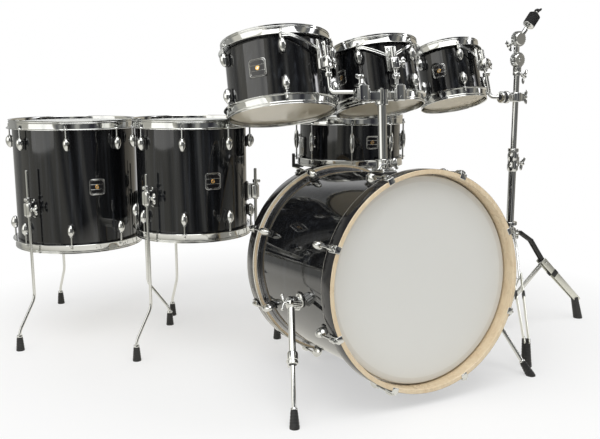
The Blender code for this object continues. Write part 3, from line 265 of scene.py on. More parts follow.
def soft_box(low: Vector, high: Vector, bevel: float, segments: int = 3) -> BMesh:
    """A box with rounded edges, from its lowest to its highest corner.

    Args:
        low: its lowest corner.
        high: its highest corner.
        bevel: width of the rounding.
        segments: steps of the rounding.

    Returns:
        The solid.
    """
    solid = bmesh.new()
    ops.create_cube(solid, size=1)
    ops.scale(solid, vec=high - low, verts=solid.verts)
    ops.translate(solid, vec=(low + high) / 2, verts=solid.verts)
    ops.bevel(solid, geom=solid.edges, offset=bevel, offset_type="OFFSET", segments=segments,
        profile=BEVEL_PROFILE, affect="EDGES", material=NO_MATERIAL, clamp_overlap=True)
    return solid


def centred_box(size: Vector, bevel: float, segments: int = 3) -> BMesh:
    """A box with rounded edges about the origin."""
    return soft_box(-size / 2, size / 2, bevel, segments)


def pebble(radii: Vector, sides: int = 16) -> BMesh:
    """A smooth pebble of three radii about the origin.

    Args:
        radii: its three radii.
        sides: steps round it.

    Returns:
        The solid.
    """
    solid = bmesh.new()
    ops.create_uvsphere(solid, u_segments=sides, v_segments=sides // 2 + 2, radius=1)
    ops.scale(solid, vec=radii, verts=solid.verts)
    return solid


def rounded_route(points: Route, reach: float, steps: int = 6) -> list[Vector]:
    """A route whose corners are rounded off.

    Args:
        points: the corners, from the first end to the last.
        reach: how far a bend reaches along both its runs.
        steps: points of each bend.

    Returns:
        The points of the rounded route.
    """
    route = [points[0]]
    for before, corner, after in zip(points, points[1:], points[2:]):
        start = corner + (before - corner).normalized() * min(reach, (before - corner).length / 2)
        end = corner + (after - corner).normalized() * min(reach, (after - corner).length / 2)
        for step in range(steps + 1):
            t = step / steps
            route.append(start * (1 - t) ** 2 + corner * 2 * t * (1 - t) + end * t ** 2)
    return route + [points[-1]]


def sweep(route: Route, radius: float, sides: int = 16, closed: bool = False) -> BMesh:
    """A round bar along a route, drawn out of one circle.

    Args:
        route: its centre line.
        radius: its radius.
        sides: steps round it.
        closed: whether its last end meets its first.

    Returns:
        The solid.
    """
    solid = bmesh.new()
    count = len(route)
    ways = []
    for i in range(count):
        before = route[i - 1] if closed or i > 0 else route[0]
        after = route[(i + 1) % count] if closed or i < count - 1 else route[-1]
        ways.append((after - before).normalized())
    ops.create_circle(solid, segments=sides, radius=radius, matrix=aim(route[0], ways[0]))
    edges = list(solid.edges)
    first = list(edges)
    for i in range(1, count):
        turn = ways[i - 1].rotation_difference(ways[i]).to_matrix().to_4x4()
        step = move_to(route[i]) @ turn @ move_to(-route[i - 1])
        made = ops.extrude_edge_only(solid, edges=edges)["geom"]
        ring = [part for part in made if isinstance(part, BMVert)]
        edges = [part for part in made if isinstance(part, BMEdge)]
        ops.transform(solid, matrix=step, verts=ring)
    if closed:
        ops.bridge_loops(solid, edges=edges + first)
    else:
        ops.holes_fill(solid, edges=[e for e in solid.edges if len(e.link_faces) == 1], sides=0)
    ops.recalc_face_normals(solid, faces=solid.faces)
    return solid


def bend_round(solid: BMesh, radius: float) -> BMesh:
    """Bends a plate that lies in XY round a drum: X runs round, Y up, Z outwards at angle 0.

    Args:
        solid: the plate, which is bent itself.
        radius: the drum's radius.

    Returns:
        The same solid.
    """
    for vert in solid.verts:
        angle = vert.co.x / radius
        vert.co = polar(radius + vert.co.z, angle, vert.co.y)
    return solid


def square_route(width: float, height: float, corner: float, steps: int = 5) -> list[Vector]:
    """The closed centre line of a frame with rounded corners, in the XY plane.

    Args:
        width: width of the frame.
        height: height of the frame.
        corner: radius of its corners.
        steps: points of each corner.

    Returns:
        The points of the route.
    """
    route = []
    for quarter in range(4):
        start = pi / 2 * quarter
        centre = Vector((copysign(width / 2 - corner, cos(start + pi / 4)),
            copysign(height / 2 - corner, sin(start + pi / 4)), 0))
        for step in range(steps + 1):
            route.append(centre + polar(corner, start + pi / 2 * step / steps))
    return route


def floor_cut(solid: BMesh) -> BMesh:
    """Takes off what reaches below the floor and closes the cut.

    Args:
        solid: the solid, which is cut itself.

    Returns:
        The same solid.
    """
    whole = list(solid.verts) + list(solid.edges) + list(solid.faces)
    ops.bisect_plane(solid, geom=whole, dist=MERGE, plane_co=(0, 0, 0), plane_no=(0, 0, -1),
        clear_outer=True)
    ops.holes_fill(solid, edges=[e for e in solid.edges if len(e.link_faces) == 1], sides=0)
    return solid


def wing(shape: Shape, seat: Vector, way: Vector, flat: Vector, reach: float, spread: float = 0.017,
        stem: float = 0.0035) -> Shape:
    """Adds a cast wing screw.

    Args:
        shape: the shape that takes it in.
        seat: where its stem starts.
        way: where it sticks out.
        flat: the way that its wings spread.
        reach: length of the stem.
        spread: half the wings' span.
        stem: radius of the stem.

    Returns:
        The shape.
    """
    place = aim(seat, way, flat)
    shape.add(lathe([(0, 0), (stem, 0), (stem, reach * 0.45), (stem * 1.9, reach * 0.5),
        (stem * 1.9, reach * 0.9), (stem * 1.4, reach), (0, reach)], 20), place)
    for sign in (-1, 1):
        blade = pebble(Vector((spread * 0.52, 0.0026, 0.0068)), 14)
        tilt = Matrix.Rotation(-0.35 * sign, 4, "Y")
        shift = move(sign * spread * 0.5, 0, reach * 0.8)
        shape.add(blade, place @ shift @ tilt)
    return shape


def rubber_foot(shape: Shape, top: Vector, foot: Vector) -> Shape:
    """Adds a ribbed rubber foot that the floor flattens.

    Args:
        shape: the shape that takes it in.
        top: where the foot starts.
        foot: where it stands.

    Returns:
        The shape.
    """
    way = (foot - top).normalized()
    length = (foot - top).length + 0.01
    outline = [(0, 0), (0.0078, 0), (0.0095, 0.003)]
    for rib in range(5):
        start = 0.006 + rib * (length - 0.016) / 5
        radius = 0.0095 + (FOOT_RADIUS - 0.0095) * (rib + 1) / 5
        outline += [(radius - 0.0012, start), (radius, start + 0.0012), (radius, start + 0.005)]
    outline += [(FOOT_RADIUS, length - 0.006), (FOOT_RADIUS * 0.75, length), (0, length)]
    solid = lathe(outline, 28)
    ops.transform(solid, matrix=aim(top, way), verts=solid.verts)
    return shape.add(floor_cut(solid), None, 1)


class Nodes:
    """Adds shader nodes to a tree in few words."""

    def __init__(self, tree: NodeTree) -> None:
        """Takes the tree that the nodes go into."""
        self.tree = tree

    def add(self, kind: str, inputs: dict[str | int, object] | None = None, **settings: object) -> Node:
        """Adds one node.

        Args:
            kind: the node's type, without its ShaderNode prefix.
            inputs: values or sockets for its inputs.
            settings: its own properties.

        Returns:
            The node.
        """
        made = self.tree.nodes.new("ShaderNode" + kind)
        for name, value in settings.items():
            setattr(made, name, value)
        for key, value in (inputs or {}).items():
            if isinstance(value, NodeSocket):
                self.tree.links.new(value, made.inputs[key])
            else:
                made.inputs[key].default_value = value
        return made

    def link(self, value: NodeSocket, target: Node, name: str) -> None:
        """Joins a value to a node's input of this name."""
        self.tree.links.new(value, target.inputs[name])

    def noise(self, vector: NodeSocket, scale: float, detail: float = 3.0,
            roughness: float = 0.5) -> NodeSocket:
        """The factor of a noise texture."""
        made = self.add("TexNoise", {"Vector": vector, "Scale": scale, "Detail": detail,
            "Roughness": roughness})
        return made.outputs["Fac"]

    def stretched(self, vector: NodeSocket, scale: Vector) -> NodeSocket:
        """A vector scaled along its axes."""
        made = self.add("Mapping", {"Vector": vector, "Scale": scale})
        return made.outputs["Vector"]

    def remap(self, value: NodeSocket, source: tuple[float, float],
            target: tuple[object, object]) -> NodeSocket:
        """A value carried from one range to another, and kept in it."""
        made = self.add("MapRange", {"Value": value, "From Min": source[0], "From Max": source[1],
            "To Min": target[0], "To Max": target[1]})
        return made.outputs["Result"]

    def blend(self, factor: object, first: object, second: object) -> NodeSocket:
        """A mix of two colours."""
        made = self.add("Mix", {"Factor": factor, 6: first, 7: second}, data_type="RGBA")
        return made.outputs[2]

    def math(self, operation: str, first: object, second: object = 0.0) -> NodeSocket:
        """A sum of two numbers, by its operation's name."""
        made = self.add("Math", {0: first, 1: second}, operation=operation)
        return made.outputs[0]


def effect(name: str, inputs: dict[str, float | tuple], outputs: dict[str, str],
        build: Callable[[Nodes, Sockets, Node], None]) -> NodeTree:
    """A shader node group, built once.

    Args:
        name: the group's name.
        inputs: its inputs with their usual values; a tuple is a colour.
        outputs: its outputs with their socket types.
        build: fills the group from its inputs.

    Returns:
        The group.
    """
    if name in bpy.data.node_groups:
        return bpy.data.node_groups[name]
    tree = bpy.data.node_groups.new(name, "ShaderNodeTree")
    for key, value in inputs.items():
        kind = "NodeSocketColor" if isinstance(value, tuple) else "NodeSocketFloat"
        tree.interface.new_socket(key, in_out="INPUT", socket_type=kind).default_value = value
    for key, kind in outputs.items():
        tree.interface.new_socket(key, in_out="OUTPUT", socket_type=kind)
    source = tree.nodes.new("NodeGroupInput")
    target = tree.nodes.new("NodeGroupOutput")
    build(Nodes(tree), {key: source.outputs[key] for key in inputs}, target)
    return tree


def smudges() -> NodeTree:
    """Handling marks: a roughness between two values, and a height of fine dimples."""

    def build(nodes: Nodes, given: Sockets, out: Node) -> None:
        """Fills the group.

        Args:
            nodes: the group's nodes.
            given: its inputs.
            out: its output node.
        """
        place = nodes.add("TexCoord").outputs["Object"]
        cloud = nodes.noise(place, 22.0, 4.0, 0.6)
        swipe = nodes.noise(nodes.stretched(place, Vector((60, 60, 9))), 1.0, 2.0)
        mask = nodes.math("MULTIPLY", nodes.remap(cloud, (0.42, 0.72), (0.0, 1.0)),
            nodes.remap(swipe, (0.35, 0.65), (0.3, 1.0)))
        rough = nodes.remap(mask, (0.0, 1.0), (given["Low"], given["High"]))
        nodes.link(rough, out, "Roughness")
        nodes.link(nodes.noise(place, 900.0, 2.0), out, "Height")
        nodes.link(mask, out, "Mask")

    return effect("handling_marks", {"Low": 0.1, "High": 0.3},
        {"Roughness": "NodeSocketFloat", "Height": "NodeSocketFloat", "Mask": "NodeSocketFloat"}, build)


def dust() -> NodeTree:
    """Fine dust on what faces up: a colour over a base colour, and its mask."""

    def build(nodes: Nodes, given: Sockets, out: Node) -> None:
        """Fills the group.

        Args:
            nodes: the group's nodes.
            given: its inputs.
            out: its output node.
        """
        place = nodes.add("TexCoord").outputs["Object"]
        normal = nodes.add("NewGeometry").outputs["Normal"]
        rise = nodes.add("SeparateXYZ", {0: normal}).outputs["Z"]
        flecks = nodes.remap(nodes.noise(place, 420.0, 4.0, 0.7), (0.55, 0.75), (0.0, 1.0))
        mask = nodes.math("MULTIPLY", nodes.remap(rise, (0.55, 1.0), (0.0, 1.0)), flecks)
        mask = nodes.math("MULTIPLY", mask, given["Amount"])
        nodes.link(nodes.blend(mask, given["Base"], given["Dust"]), out, "Color")
        nodes.link(mask, out, "Mask")

    return effect("settled_dust", {"Amount": 0.15, "Base": (0.01, 0.01, 0.01, 1),
        "Dust": (0.4, 0.38, 0.35, 1)}, {"Color": "NodeSocketColor", "Mask": "NodeSocketFloat"}, build)


def wood_grain() -> NodeTree:
    """Straight maple grain: a colour between two, and the height of its pores."""

    def build(nodes: Nodes, given: Sockets, out: Node) -> None:
        """Fills the group.

        Args:
            nodes: the group's nodes.
            given: its inputs.
            out: its output node.
        """
        place = nodes.add("TexCoord").outputs["Object"]
        long_grain = nodes.stretched(place, Vector((90, 90, 1.6)))
        rings = nodes.noise(long_grain, 1.0, 5.0, 0.65)
        flame = nodes.noise(nodes.stretched(place, Vector((14, 14, 30))), 1.0, 2.0)
        tone = nodes.math("ADD", nodes.math("MULTIPLY", rings, 0.7), nodes.math("MULTIPLY", flame, 0.3))
        tone = nodes.remap(tone, (0.32, 0.68), (0.0, 1.0))
        nodes.link(nodes.blend(tone, given["Light"], given["Dark"]), out, "Color")
        nodes.link(nodes.noise(long_grain, 3.0, 3.0), out, "Height")

    return effect("maple_grain", {"Light": (0.72, 0.55, 0.34, 1), "Dark": (0.5, 0.34, 0.18, 1)},
        {"Color": "NodeSocketColor", "Height": "NodeSocketFloat"}, build)


@dataclass(frozen=True)
class Finish:
    """What every finish shares: its name and how its shader starts."""

    name: str

    def material(self) -> Material:
        """The finish's material, made once."""
        if self.name in bpy.data.materials:
            return bpy.data.materials[self.name]
        made = bpy.data.materials.new(self.name)
        made.use_nodes = True
        nodes = Nodes(made.node_tree)
        shader = made.node_tree.nodes["Principled BSDF"]
        self.dress(nodes, shader)
        return made

    def dress(self, nodes: Nodes, shader: Node) -> None:
        """Fills the shader; each finish has its own."""
        raise NotImplementedError

    @staticmethod
    def bump(nodes: Nodes, shader: Node, height: NodeSocket, strength: float, distance: float) -> None:
        """Feeds a height to the shader's normal.

        Args:
            nodes: the material's nodes.
            shader: its shader.
            height: the height over the surface.
            strength: strength of the bump.
            distance: depth of the bump in metres.
        """
        made = nodes.add("Bump", {"Height": height, "Strength": strength, "Distance": distance})
        nodes.link(made.outputs["Normal"], shader, "Normal")

    @staticmethod
    def marks(nodes: Nodes, shader: Node, low: float, high: float) -> NodeSocket:
        """Feeds the handling marks to the shader's roughness.

        Args:
            nodes: the material's nodes.
            shader: its shader.
            low: roughness between the marks.
            high: roughness of the marks.

        Returns:
            The height of the marks' fine dimples.
        """
        made = nodes.add("Group", {"Low": low, "High": high}, node_tree=smudges())
        nodes.link(made.outputs["Roughness"], shader, "Roughness")
        return made.outputs["Height"]

    @staticmethod
    def dusted(nodes: Nodes, shader: Node, base: NodeSocket, amount: float) -> None:
        """Feeds a colour under settled dust to the shader.

        Args:
            nodes: the material's nodes.
            shader: its shader.
            base: the colour under the dust.
            amount: how much dust lies on it.
        """
        made = nodes.add("Group", {"Base": base, "Amount": amount}, node_tree=dust())
        nodes.link(made.outputs["Color"], shader, "Base Color")


@dataclass(frozen=True)
class Metal(Finish):
    """Plated or bare metal with handling marks."""

    colour: tuple[float, float, float]
    low: float = 0.05
    high: float = 0.16
    dimples: float = 0.02
    brushed: float = 0.0

    def dress(self, nodes: Nodes, shader: Node) -> None:
        """Fills the shader with a bright colour, uneven polish and fine dimples.

        Args:
            nodes: the material's nodes.
            shader: its shader.
        """
        height = self.marks(nodes, shader, self.low, self.high)
        place = nodes.add("TexCoord").outputs["Object"]
        tone = nodes.remap(nodes.noise(place, 8.0), (0.3, 0.7), (0.0, 1.0))
        dull = tuple(part * 0.9 for part in self.colour)
        colour = nodes.blend(tone, (*self.colour, 1), (*dull, 1))
        nodes.link(colour, shader, "Base Color")
        shader.inputs["Metallic"].default_value = 1.0
        if self.brushed:
            height = nodes.noise(nodes.stretched(place, Vector((1800, 1800, 40))), 1.0, 2.0)
        self.bump(nodes, shader, height, max(self.dimples, self.brushed), 0.0004)


@dataclass(frozen=True)
class Wrap(Finish):
    """Black gloss shell covering with fine sparkle flecks and faint lighter upright streaks, a painted
    reflection.
    """

    colour: tuple[float, float, float] = (0.005, 0.0052, 0.0058)
    # Colour of the lighter upright streaks, a painted reflection of the room.
    painted_streak: tuple[float, float, float] = (0.03, 0.0335, 0.04)

    def dress(self, nodes: Nodes, shader: Node) -> None:
        """Fills the shader with painted reflection streaks, sparkle flecks, settled dust and a glassy top.

        Args:
            nodes: the material's nodes.
            shader: its shader.
        """
        place = nodes.add("TexCoord").outputs["Object"]
        # Painted reflection: lighter upright streaks in the base colour stand for the room mirrored in the gloss;
        # the flecks are the wrap's own sparkle.
        lines = nodes.noise(nodes.stretched(place, Vector((75, 75, 2.2))), 1.0, 4.0, 0.6)
        lines = nodes.remap(lines, (0.5, 0.78), (0.0, 1.0))
        flecks = nodes.add("TexVoronoi", {"Vector": place, "Scale": 900.0}).outputs["Distance"]
        flecks = nodes.remap(flecks, (0.05, 0.22), (0.35, 0.0))
        black_with_painted_streaks = nodes.blend(nodes.math("ADD", nodes.math("MULTIPLY", lines, 0.8), flecks),
            (*self.colour, 1), (*self.painted_streak, 1))
        self.dusted(nodes, shader, black_with_painted_streaks, 0.06)
        self.marks(nodes, shader, 0.045, 0.1)
        shader.inputs["IOR"].default_value = 1.58
        shader.inputs["Coat Weight"].default_value = 0.25
        shader.inputs["Coat Roughness"].default_value = 0.03
        wave = nodes.noise(nodes.stretched(place, Vector((26, 26, 9))), 1.0, 2.0)
        self.bump(nodes, shader, wave, 0.1, 0.0009)


@dataclass(frozen=True)
class Lacquer(Finish):
    """Thick gloss lacquer on wood."""

    colour: tuple[float, float, float] = (0.008, 0.008, 0.009)

    def dress(self, nodes: Nodes, shader: Node) -> None:
        """Fills the shader with lacquer over faint grain, with settled dust.

        Args:
            nodes: the material's nodes.
            shader: its shader.
        """
        grain = nodes.add("Group", {"Light": (0.014, 0.013, 0.013, 1), "Dark": (*self.colour, 1)},
            node_tree=wood_grain())
        self.dusted(nodes, shader, grain.outputs["Color"], 0.06)
        self.marks(nodes, shader, 0.07, 0.16)
        shader.inputs["IOR"].default_value = 1.55
        self.bump(nodes, shader, grain.outputs["Height"], 0.05, 0.0004)


@dataclass(frozen=True)
class Maple(Finish):
    """Pale maple under clear satin lacquer."""

    light: tuple[float, float, float] = (0.76, 0.62, 0.42)
    dark: tuple[float, float, float] = (0.6, 0.44, 0.26)
    gloss: float = 0.32

    def dress(self, nodes: Nodes, shader: Node) -> None:
        """Fills the shader with straight grain and its pores.

        Args:
            nodes: the material's nodes.
            shader: its shader.
        """
        grain = nodes.add("Group", {"Light": (*self.light, 1), "Dark": (*self.dark, 1)},
            node_tree=wood_grain())
        nodes.link(grain.outputs["Color"], shader, "Base Color")
        self.marks(nodes, shader, self.gloss, self.gloss + 0.15)
        self.bump(nodes, shader, grain.outputs["Height"], 0.18, 0.0004)


@dataclass(frozen=True)
class Skin(Finish):
    """A drum head's film. The attribute reach says how far from its middle a point lies."""

    colour: tuple[float, float, float]
    edge: tuple[float, float, float]
    opacity: float = 1.0
    gloss: float = 0.35
    grit: float = 0.12

    def dress(self, nodes: Nodes, shader: Node) -> None:
        """Fills the shader with a faintly cloudy film whose edge has another tone.

        Args:
            nodes: the material's nodes.
            shader: its shader.
        """
        place = nodes.add("TexCoord").outputs["Object"]
        cloud = nodes.remap(nodes.noise(place, 5.0, 4.0), (0.3, 0.7), (0.0, 0.12))
        field = nodes.blend(cloud, (*self.colour, 1), (*self.edge, 1))
        reach = nodes.add("Attribute", attribute_name="reach").outputs["Fac"]
        border = nodes.remap(reach, (0.94, 0.948), (0.0, 1.0))
        colour = nodes.blend(border, field, (*self.edge, 1))
        nodes.link(colour, shader, "Base Color")
        self.marks(nodes, shader, self.gloss, self.gloss + 0.12)
        grit = nodes.noise(place, 1500.0, 2.0)
        self.bump(nodes, shader, grit, self.grit, 0.0003)
        shader.inputs["Alpha"].default_value = self.opacity


@dataclass(frozen=True)
class Soft(Finish):
    """Rubber, nylon or felt with a fine grain."""

    colour: tuple[float, float, float]
    worn: tuple[float, float, float]
    gloss: float = 0.6
    scale: float = 600.0
    depth: float = 0.35

    def dress(self, nodes: Nodes, shader: Node) -> None:
        """Fills the shader with a grained, slightly dusty surface.

        Args:
            nodes: the material's nodes.
            shader: its shader.
        """
        place = nodes.add("TexCoord").outputs["Object"]
        grain = nodes.noise(place, self.scale, 4.0, 0.65)
        tone = nodes.remap(nodes.noise(place, 35.0, 4.0), (0.4, 0.7), (0.0, 0.6))
        base = nodes.blend(tone, (*self.colour, 1), (*self.worn, 1))
        self.dusted(nodes, shader, base, 0.12)
        self.marks(nodes, shader, self.gloss, min(1.0, self.gloss + 0.15))
        self.bump(nodes, shader, grain, self.depth, 0.0005)


CHROME = Metal("bright_chrome", (0.67, 0.675, 0.66))
SATIN = Metal("leg_satin_plate", (0.74, 0.74, 0.68), 0.34, 0.46)
ALLOY = Metal("flesh_hoop_alloy", (0.62, 0.62, 0.63), 0.22, 0.36, brushed=0.12)
STEEL = Metal("snare_wire_steel", (0.6, 0.6, 0.62), 0.2, 0.32, brushed=0.15)
GOLD = Metal("vent_grommet_gold", (0.9, 0.56, 0.2), 0.12, 0.24)
SILVER_LINE = Metal("badge_silver", (0.78, 0.78, 0.76), 0.18, 0.3)
BLACK_PLATE = Lacquer("badge_field")
WRAP = Wrap("black_gloss_wrap")
HOOP_LACQUER = Lacquer("bass_hoop_lacquer")
# A pale finish for a thin strip on the bass hoops' rounded back edge: a painted highlight.
PAINTED_HIGHLIGHT_EDGE = Maple("bass_hoop_bare_edge", (0.68, 0.65, 0.57), (0.6, 0.57, 0.49), 0.3)
HOOP_MAPLE = Maple("bass_hoop_maple", (0.78, 0.66, 0.47), (0.66, 0.51, 0.33), 0.26)
PLY = Maple("shell_ply_maple")
COATED = Skin("coated_film", (0.78, 0.79, 0.77), (0.62, 0.64, 0.64), 1.0, 0.48, 0.3)
SMOOTH = Skin("smooth_white_film", (0.72, 0.72, 0.69), (0.66, 0.65, 0.61), 1.0, 0.3, 0.05)
CLEAR = Skin("clear_film", (0.8, 0.71, 0.53), (0.62, 0.55, 0.41), 0.82, 0.12, 0.04)
RUBBER = Soft("black_rubber", (0.012, 0.012, 0.012), (0.03, 0.029, 0.028), 0.5)
FELT = Soft("black_felt", (0.014, 0.014, 0.015), (0.04, 0.039, 0.038), 0.92, 1400.0, 0.8)
NYLON = Soft("black_nylon", (0.016, 0.016, 0.017), (0.028, 0.028, 0.029), 0.4, 300.0, 0.1)


def publish(name: str, shape: Shape, finishes: Sequence[Finish], body: str, replaces: Sequence[str] = ()) -> None:
    """Args:
        name: the piece's name.
        shape: its shape, which is used up.
        finishes: its finishes, in the order of the shape's material indices.
        body: the CAD body that it moves with.
        replaces: the CAD nodes that it stands for.
    """
    mesh = bpy.data.meshes.new(name)
    shape.mesh.to_mesh(mesh)
    shape.mesh.free()
    for finish in finishes:
        mesh.materials.append(finish.material())
    mesh.shade_smooth()
    mesh.set_sharp_from_angle(angle=SMOOTH_ANGLE)
    piece = bpy.data.objects.new(name, mesh)
    bpy.context.scene.collection.objects.link(piece)
    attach(piece, body)
    if replaces:
        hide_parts(*replaces)
    log.info("%s: %d faces on %s", name, len(mesh.polygons), body)


@dataclass(frozen=True)
class Drum:
    name: str
    body: str
    diameter: float
    depth: float
    lugs: int
    phase: float
    lug_inset: float
    middle: tuple[float, float, float]
    lean: float = 0.0
    heading: float = 90.0
    bracket: float = 0.0
    badge: float | None = None

    @property
    def radius(self) -> float:
        """Outer radius of the shell."""
        return self.diameter / 2

    @property
    def half(self) -> float:
        """Half the shell's depth."""
        return self.depth / 2

    @property
    def place(self) -> Matrix:
        """The drum's frame: origin at its middle, +Z out of its batter head."""
        turn = spin_z(radians(self.heading - 90))
        lean = Matrix.Rotation(-radians(self.lean), 4, "X")
        return move_to(kit(*self.middle)) @ turn @ lean

    @property
    def lug_angles(self) -> list[float]:
        """The angles of the lugs, in radians."""
        return [radians(self.phase + 360 / self.lugs * i) for i in range(self.lugs)]


TOM12 = Drum("tom12", "tom12", 12 * INCH, 8 * INCH, 5, -33, 0.05, (-0.2, 0.236, 0.862), 15, 86, -64,
    badge=-133)
TOM10 = Drum("tom10", "tom10", 10 * INCH, 7 * INCH, 5, -70, 0.05, (0.121, 0.205, 0.863), 15, 91, -104,
    badge=-178)
TOM8 = Drum("tom8", "tom8", 8 * INCH, 7 * INCH, 5, -34, 0.05, (0.475, 0.3, 0.87), 17.6, 90, -70,
    badge=-146)
FLOOR16 = Drum("floor16", "drums_and_stands", 16 * INCH, 16 * INCH, 8, 27, 0.065,
    (-0.6815, 0.8587, 0.5173), badge=-83)
FLOOR14 = Drum("floor14", "drums_and_stands", 14 * INCH, 14 * INCH, 8, 18, 0.065, (-0.372, 0.54, 0.5518),
    badge=-88)
SNARE = Drum("snare", "snare", 14 * INCH, 6 * INCH, 8, 17, 0.076, (0.218, 0.53, 0.651), badge=-95)
HOOP_SIDES = 112
SHELL_SIDES = 112


def film_solid(profile: Profile, radius: float, sides: int) -> BMesh:
    """A drum head's film, which knows how far from its middle each point lies.

    Args:
        profile: its closed outline.
        radius: the drum's radius.
        sides: steps of the full turn.

    Returns:
        The solid, with the attribute reach.
    """
    solid = lathe(profile, sides)
    layer = solid.verts.layers.float.new("reach")
    for vert in solid.verts:
        vert[layer] = hypot(vert.co.x, vert.co.y) / radius
    return solid


@dataclass
class DrumDress:
    """Builds one drum: shell, lugs, badge, both heads, both steel hoops and the rods."""

    drum: Drum
    rod_tip: float | None = None

    def build(self) -> None:
        """Builds every piece of the drum."""
        self.shell()
        if self.rod_tip is None:
            self.lug_set()
        for end in End:
            self.head(end)
            self.hoop(end)
            self.rods(end)
        if self.drum.badge is not None:
            self.badge()

    def flipped(self, end: End) -> Matrix:
        """Carries a piece made for the batter end to its end of the drum."""
        if end is End.BATTER:
            return self.drum.place
        return self.drum.place @ Matrix.Rotation(pi, 4, "X")

    def lug_turns(self, end: End) -> list[Matrix]:
        """The frames of an end, each turned to one of its lugs."""
        sign = 1 if end is End.BATTER else -1
        return [self.flipped(end) @ spin_z(sign * angle) for angle in self.drum.lug_angles]

    def shell(self) -> None:
        """The wrapped shell with its bevelled bearing edges and bare inside."""
        drum = self.drum
        outer, half = drum.radius, drum.half
        inner = outer - SHELL_WALL
        core = outer - WRAP_THICKNESS
        lip = 0.0025
        wrap = lathe([(core, -half + lip), (outer - 0.0002, -half + lip), (outer, -half + lip * 1.1),
            (outer, half - lip * 1.1), (outer - 0.0002, half - lip), (core, half - lip)], SHELL_SIDES)
        ply = lathe([(inner, -half + SHELL_WALL * 0.7), (core - 0.0012, -half), (core, -half + 0.001),
            (core, half - 0.001), (core - 0.0012, half), (inner, half - SHELL_WALL * 0.7)], SHELL_SIDES)
        shape = Shape().add(wrap, drum.place).add(ply, drum.place, 1)
        publish(f"{drum.name}_wrapped_shell", shape, (WRAP, PLY), drum.body, [f"{drum.name}_shell"])

    def lug_set(self) -> None:
        """Both rows of cast lugs on their black gaskets."""
        drum = self.drum
        shape = Shape()
        for end in End:
            for turn in self.lug_turns(end):
                spot = turn @ move(drum.radius + LUG_OUT, 0, drum.half - drum.lug_inset)
                self.cast_lug(shape, spot, LUG_HALF_REACH, LUG_OUT)
        publish(f"{drum.name}_lugs", shape, (CHROME, NYLON), drum.body)

    @staticmethod
    def cast_lug(shape: Shape, spot: Matrix, half_reach: float, out: float) -> None:
        """Adds one teardrop lug, its gasket and the nut that takes the rod.

        Args:
            shape: the shape that takes it in.
            spot: the lug's frame: +Z to the hoop, +X away from the shell.
            half_reach: half its depth off the shell.
            out: its middle's distance off the shell.
        """
        half = LUG_LENGTH / 2
        outline = [(0, half), (0.0042, half)]
        steps = 14
        for i in range(1, steps):
            t = i / steps
            swell = sin(pi * t ** 0.8) ** 0.55
            radius = max(LUG_HALF_WIDTH * swell, 0.0042 * (1 - t) ** 0.5)
            outline.append((radius, half - LUG_LENGTH * t))
        outline.append((0, -half))
        body = lathe(outline, 28)
        stretch = Matrix.Diagonal((half_reach / LUG_HALF_WIDTH, 1, 1, 1))
        ops.transform(body, matrix=stretch, verts=body.verts)
        shape.add(body, spot)
        nut = lathe(mm([(0, -4), (5.2, -4), (5.8, -3), (5.8, 0.5), (5, 1.2), (0, 1.2)], up=half), 20)
        shift = move(ROD_OUT - LUG_OUT if out == LUG_OUT else BASS_ROD_OUT - out, 0, 0)
        shape.add(nut, spot @ shift)
        foot = centred_box(Vector((0.0034, 0.02, LUG_LENGTH * 0.82)), 0.0016)
        shape.add(foot, spot @ move(0.0016 - out, 0, -0.001), 1)

    def head(self, end: End) -> None:
        """The film with its collar, and the alloy hoop that it is set in.

        Args:
            end: which end of the drum.
        """
        drum = self.drum
        edge, outer = drum.half, drum.radius
        film = [(0, edge + 0.0013), (outer * 0.5, edge + 0.0013), (outer * 0.8, edge + 0.0013),
            (outer * 0.94, edge + 0.0013), (outer * 0.95, edge + 0.0013), (outer - 0.0035, edge + 0.0012),
            (outer - 0.0005, edge + 0.0006), (outer + 0.0014, edge - 0.0012),
            (outer + 0.003, edge - 0.012), (outer + 0.0025, edge - 0.012), (outer + 0.0009, edge - 0.001),
            (outer - 0.0008, edge + 0.0001), (outer - 0.0035, edge + 0.0006), (0, edge + 0.0006)]
        solid = film_solid(film, outer, SHELL_SIDES)
        finish = COATED if end is End.BATTER else CLEAR
        publish(f"{drum.name}_{end.word}_film", Shape().add(solid, self.flipped(end)), (finish,),
            drum.body, [f"{drum.name}_{end.word}_head"])
        low = edge - 0.0158
        ring = lathe(mm([(0.8, 0), (5.6, 0), (6, 0.4), (6, 6.2), (5.2, 7), (0.8, 7)], outer, low),
            SHELL_SIDES)
        publish(f"{drum.name}_{end.word}_flesh_hoop", Shape().add(ring, self.flipped(end)), (ALLOY,),
            drum.body)

    def hoop(self, end: End) -> None:
        """A rolled steel hoop with three flanges and an ear at each rod.

        Args:
            end: which end of the drum.
        """
        drum = self.drum
        edge, outer = drum.half, drum.radius
        section = mm([(6.4, -17.2), (7.2, -18), (17.2, -17.8), (18, -17), (17.8, -16), (11.5, -15.2),
            (9.5, -14), (9, -12), (9, 2), (10.4, 3), (10.6, 4.2), (9, 5.4), (8.6, 6.6), (9, 8.6),
            (10.4, 9.6), (10.6, 10.6), (9.6, 11.3), (7.8, 11.2), (6.8, 10), (6.4, 8)], outer, edge)
        ring = lathe(section, HOOP_SIDES)
        shape = Shape().add(ring, self.flipped(end))
        for turn in self.lug_turns(end):
            ear = centred_box(Vector((0.012, 0.0165, 0.0026)), 0.0011)
            shape.add(ear, turn @ move(outer + 0.013, 0, edge - 0.0163))
        publish(f"{drum.name}_{end.word}_steel_hoop", shape, (CHROME,), drum.body,
            [f"{drum.name}_{end.word}_hoop"])

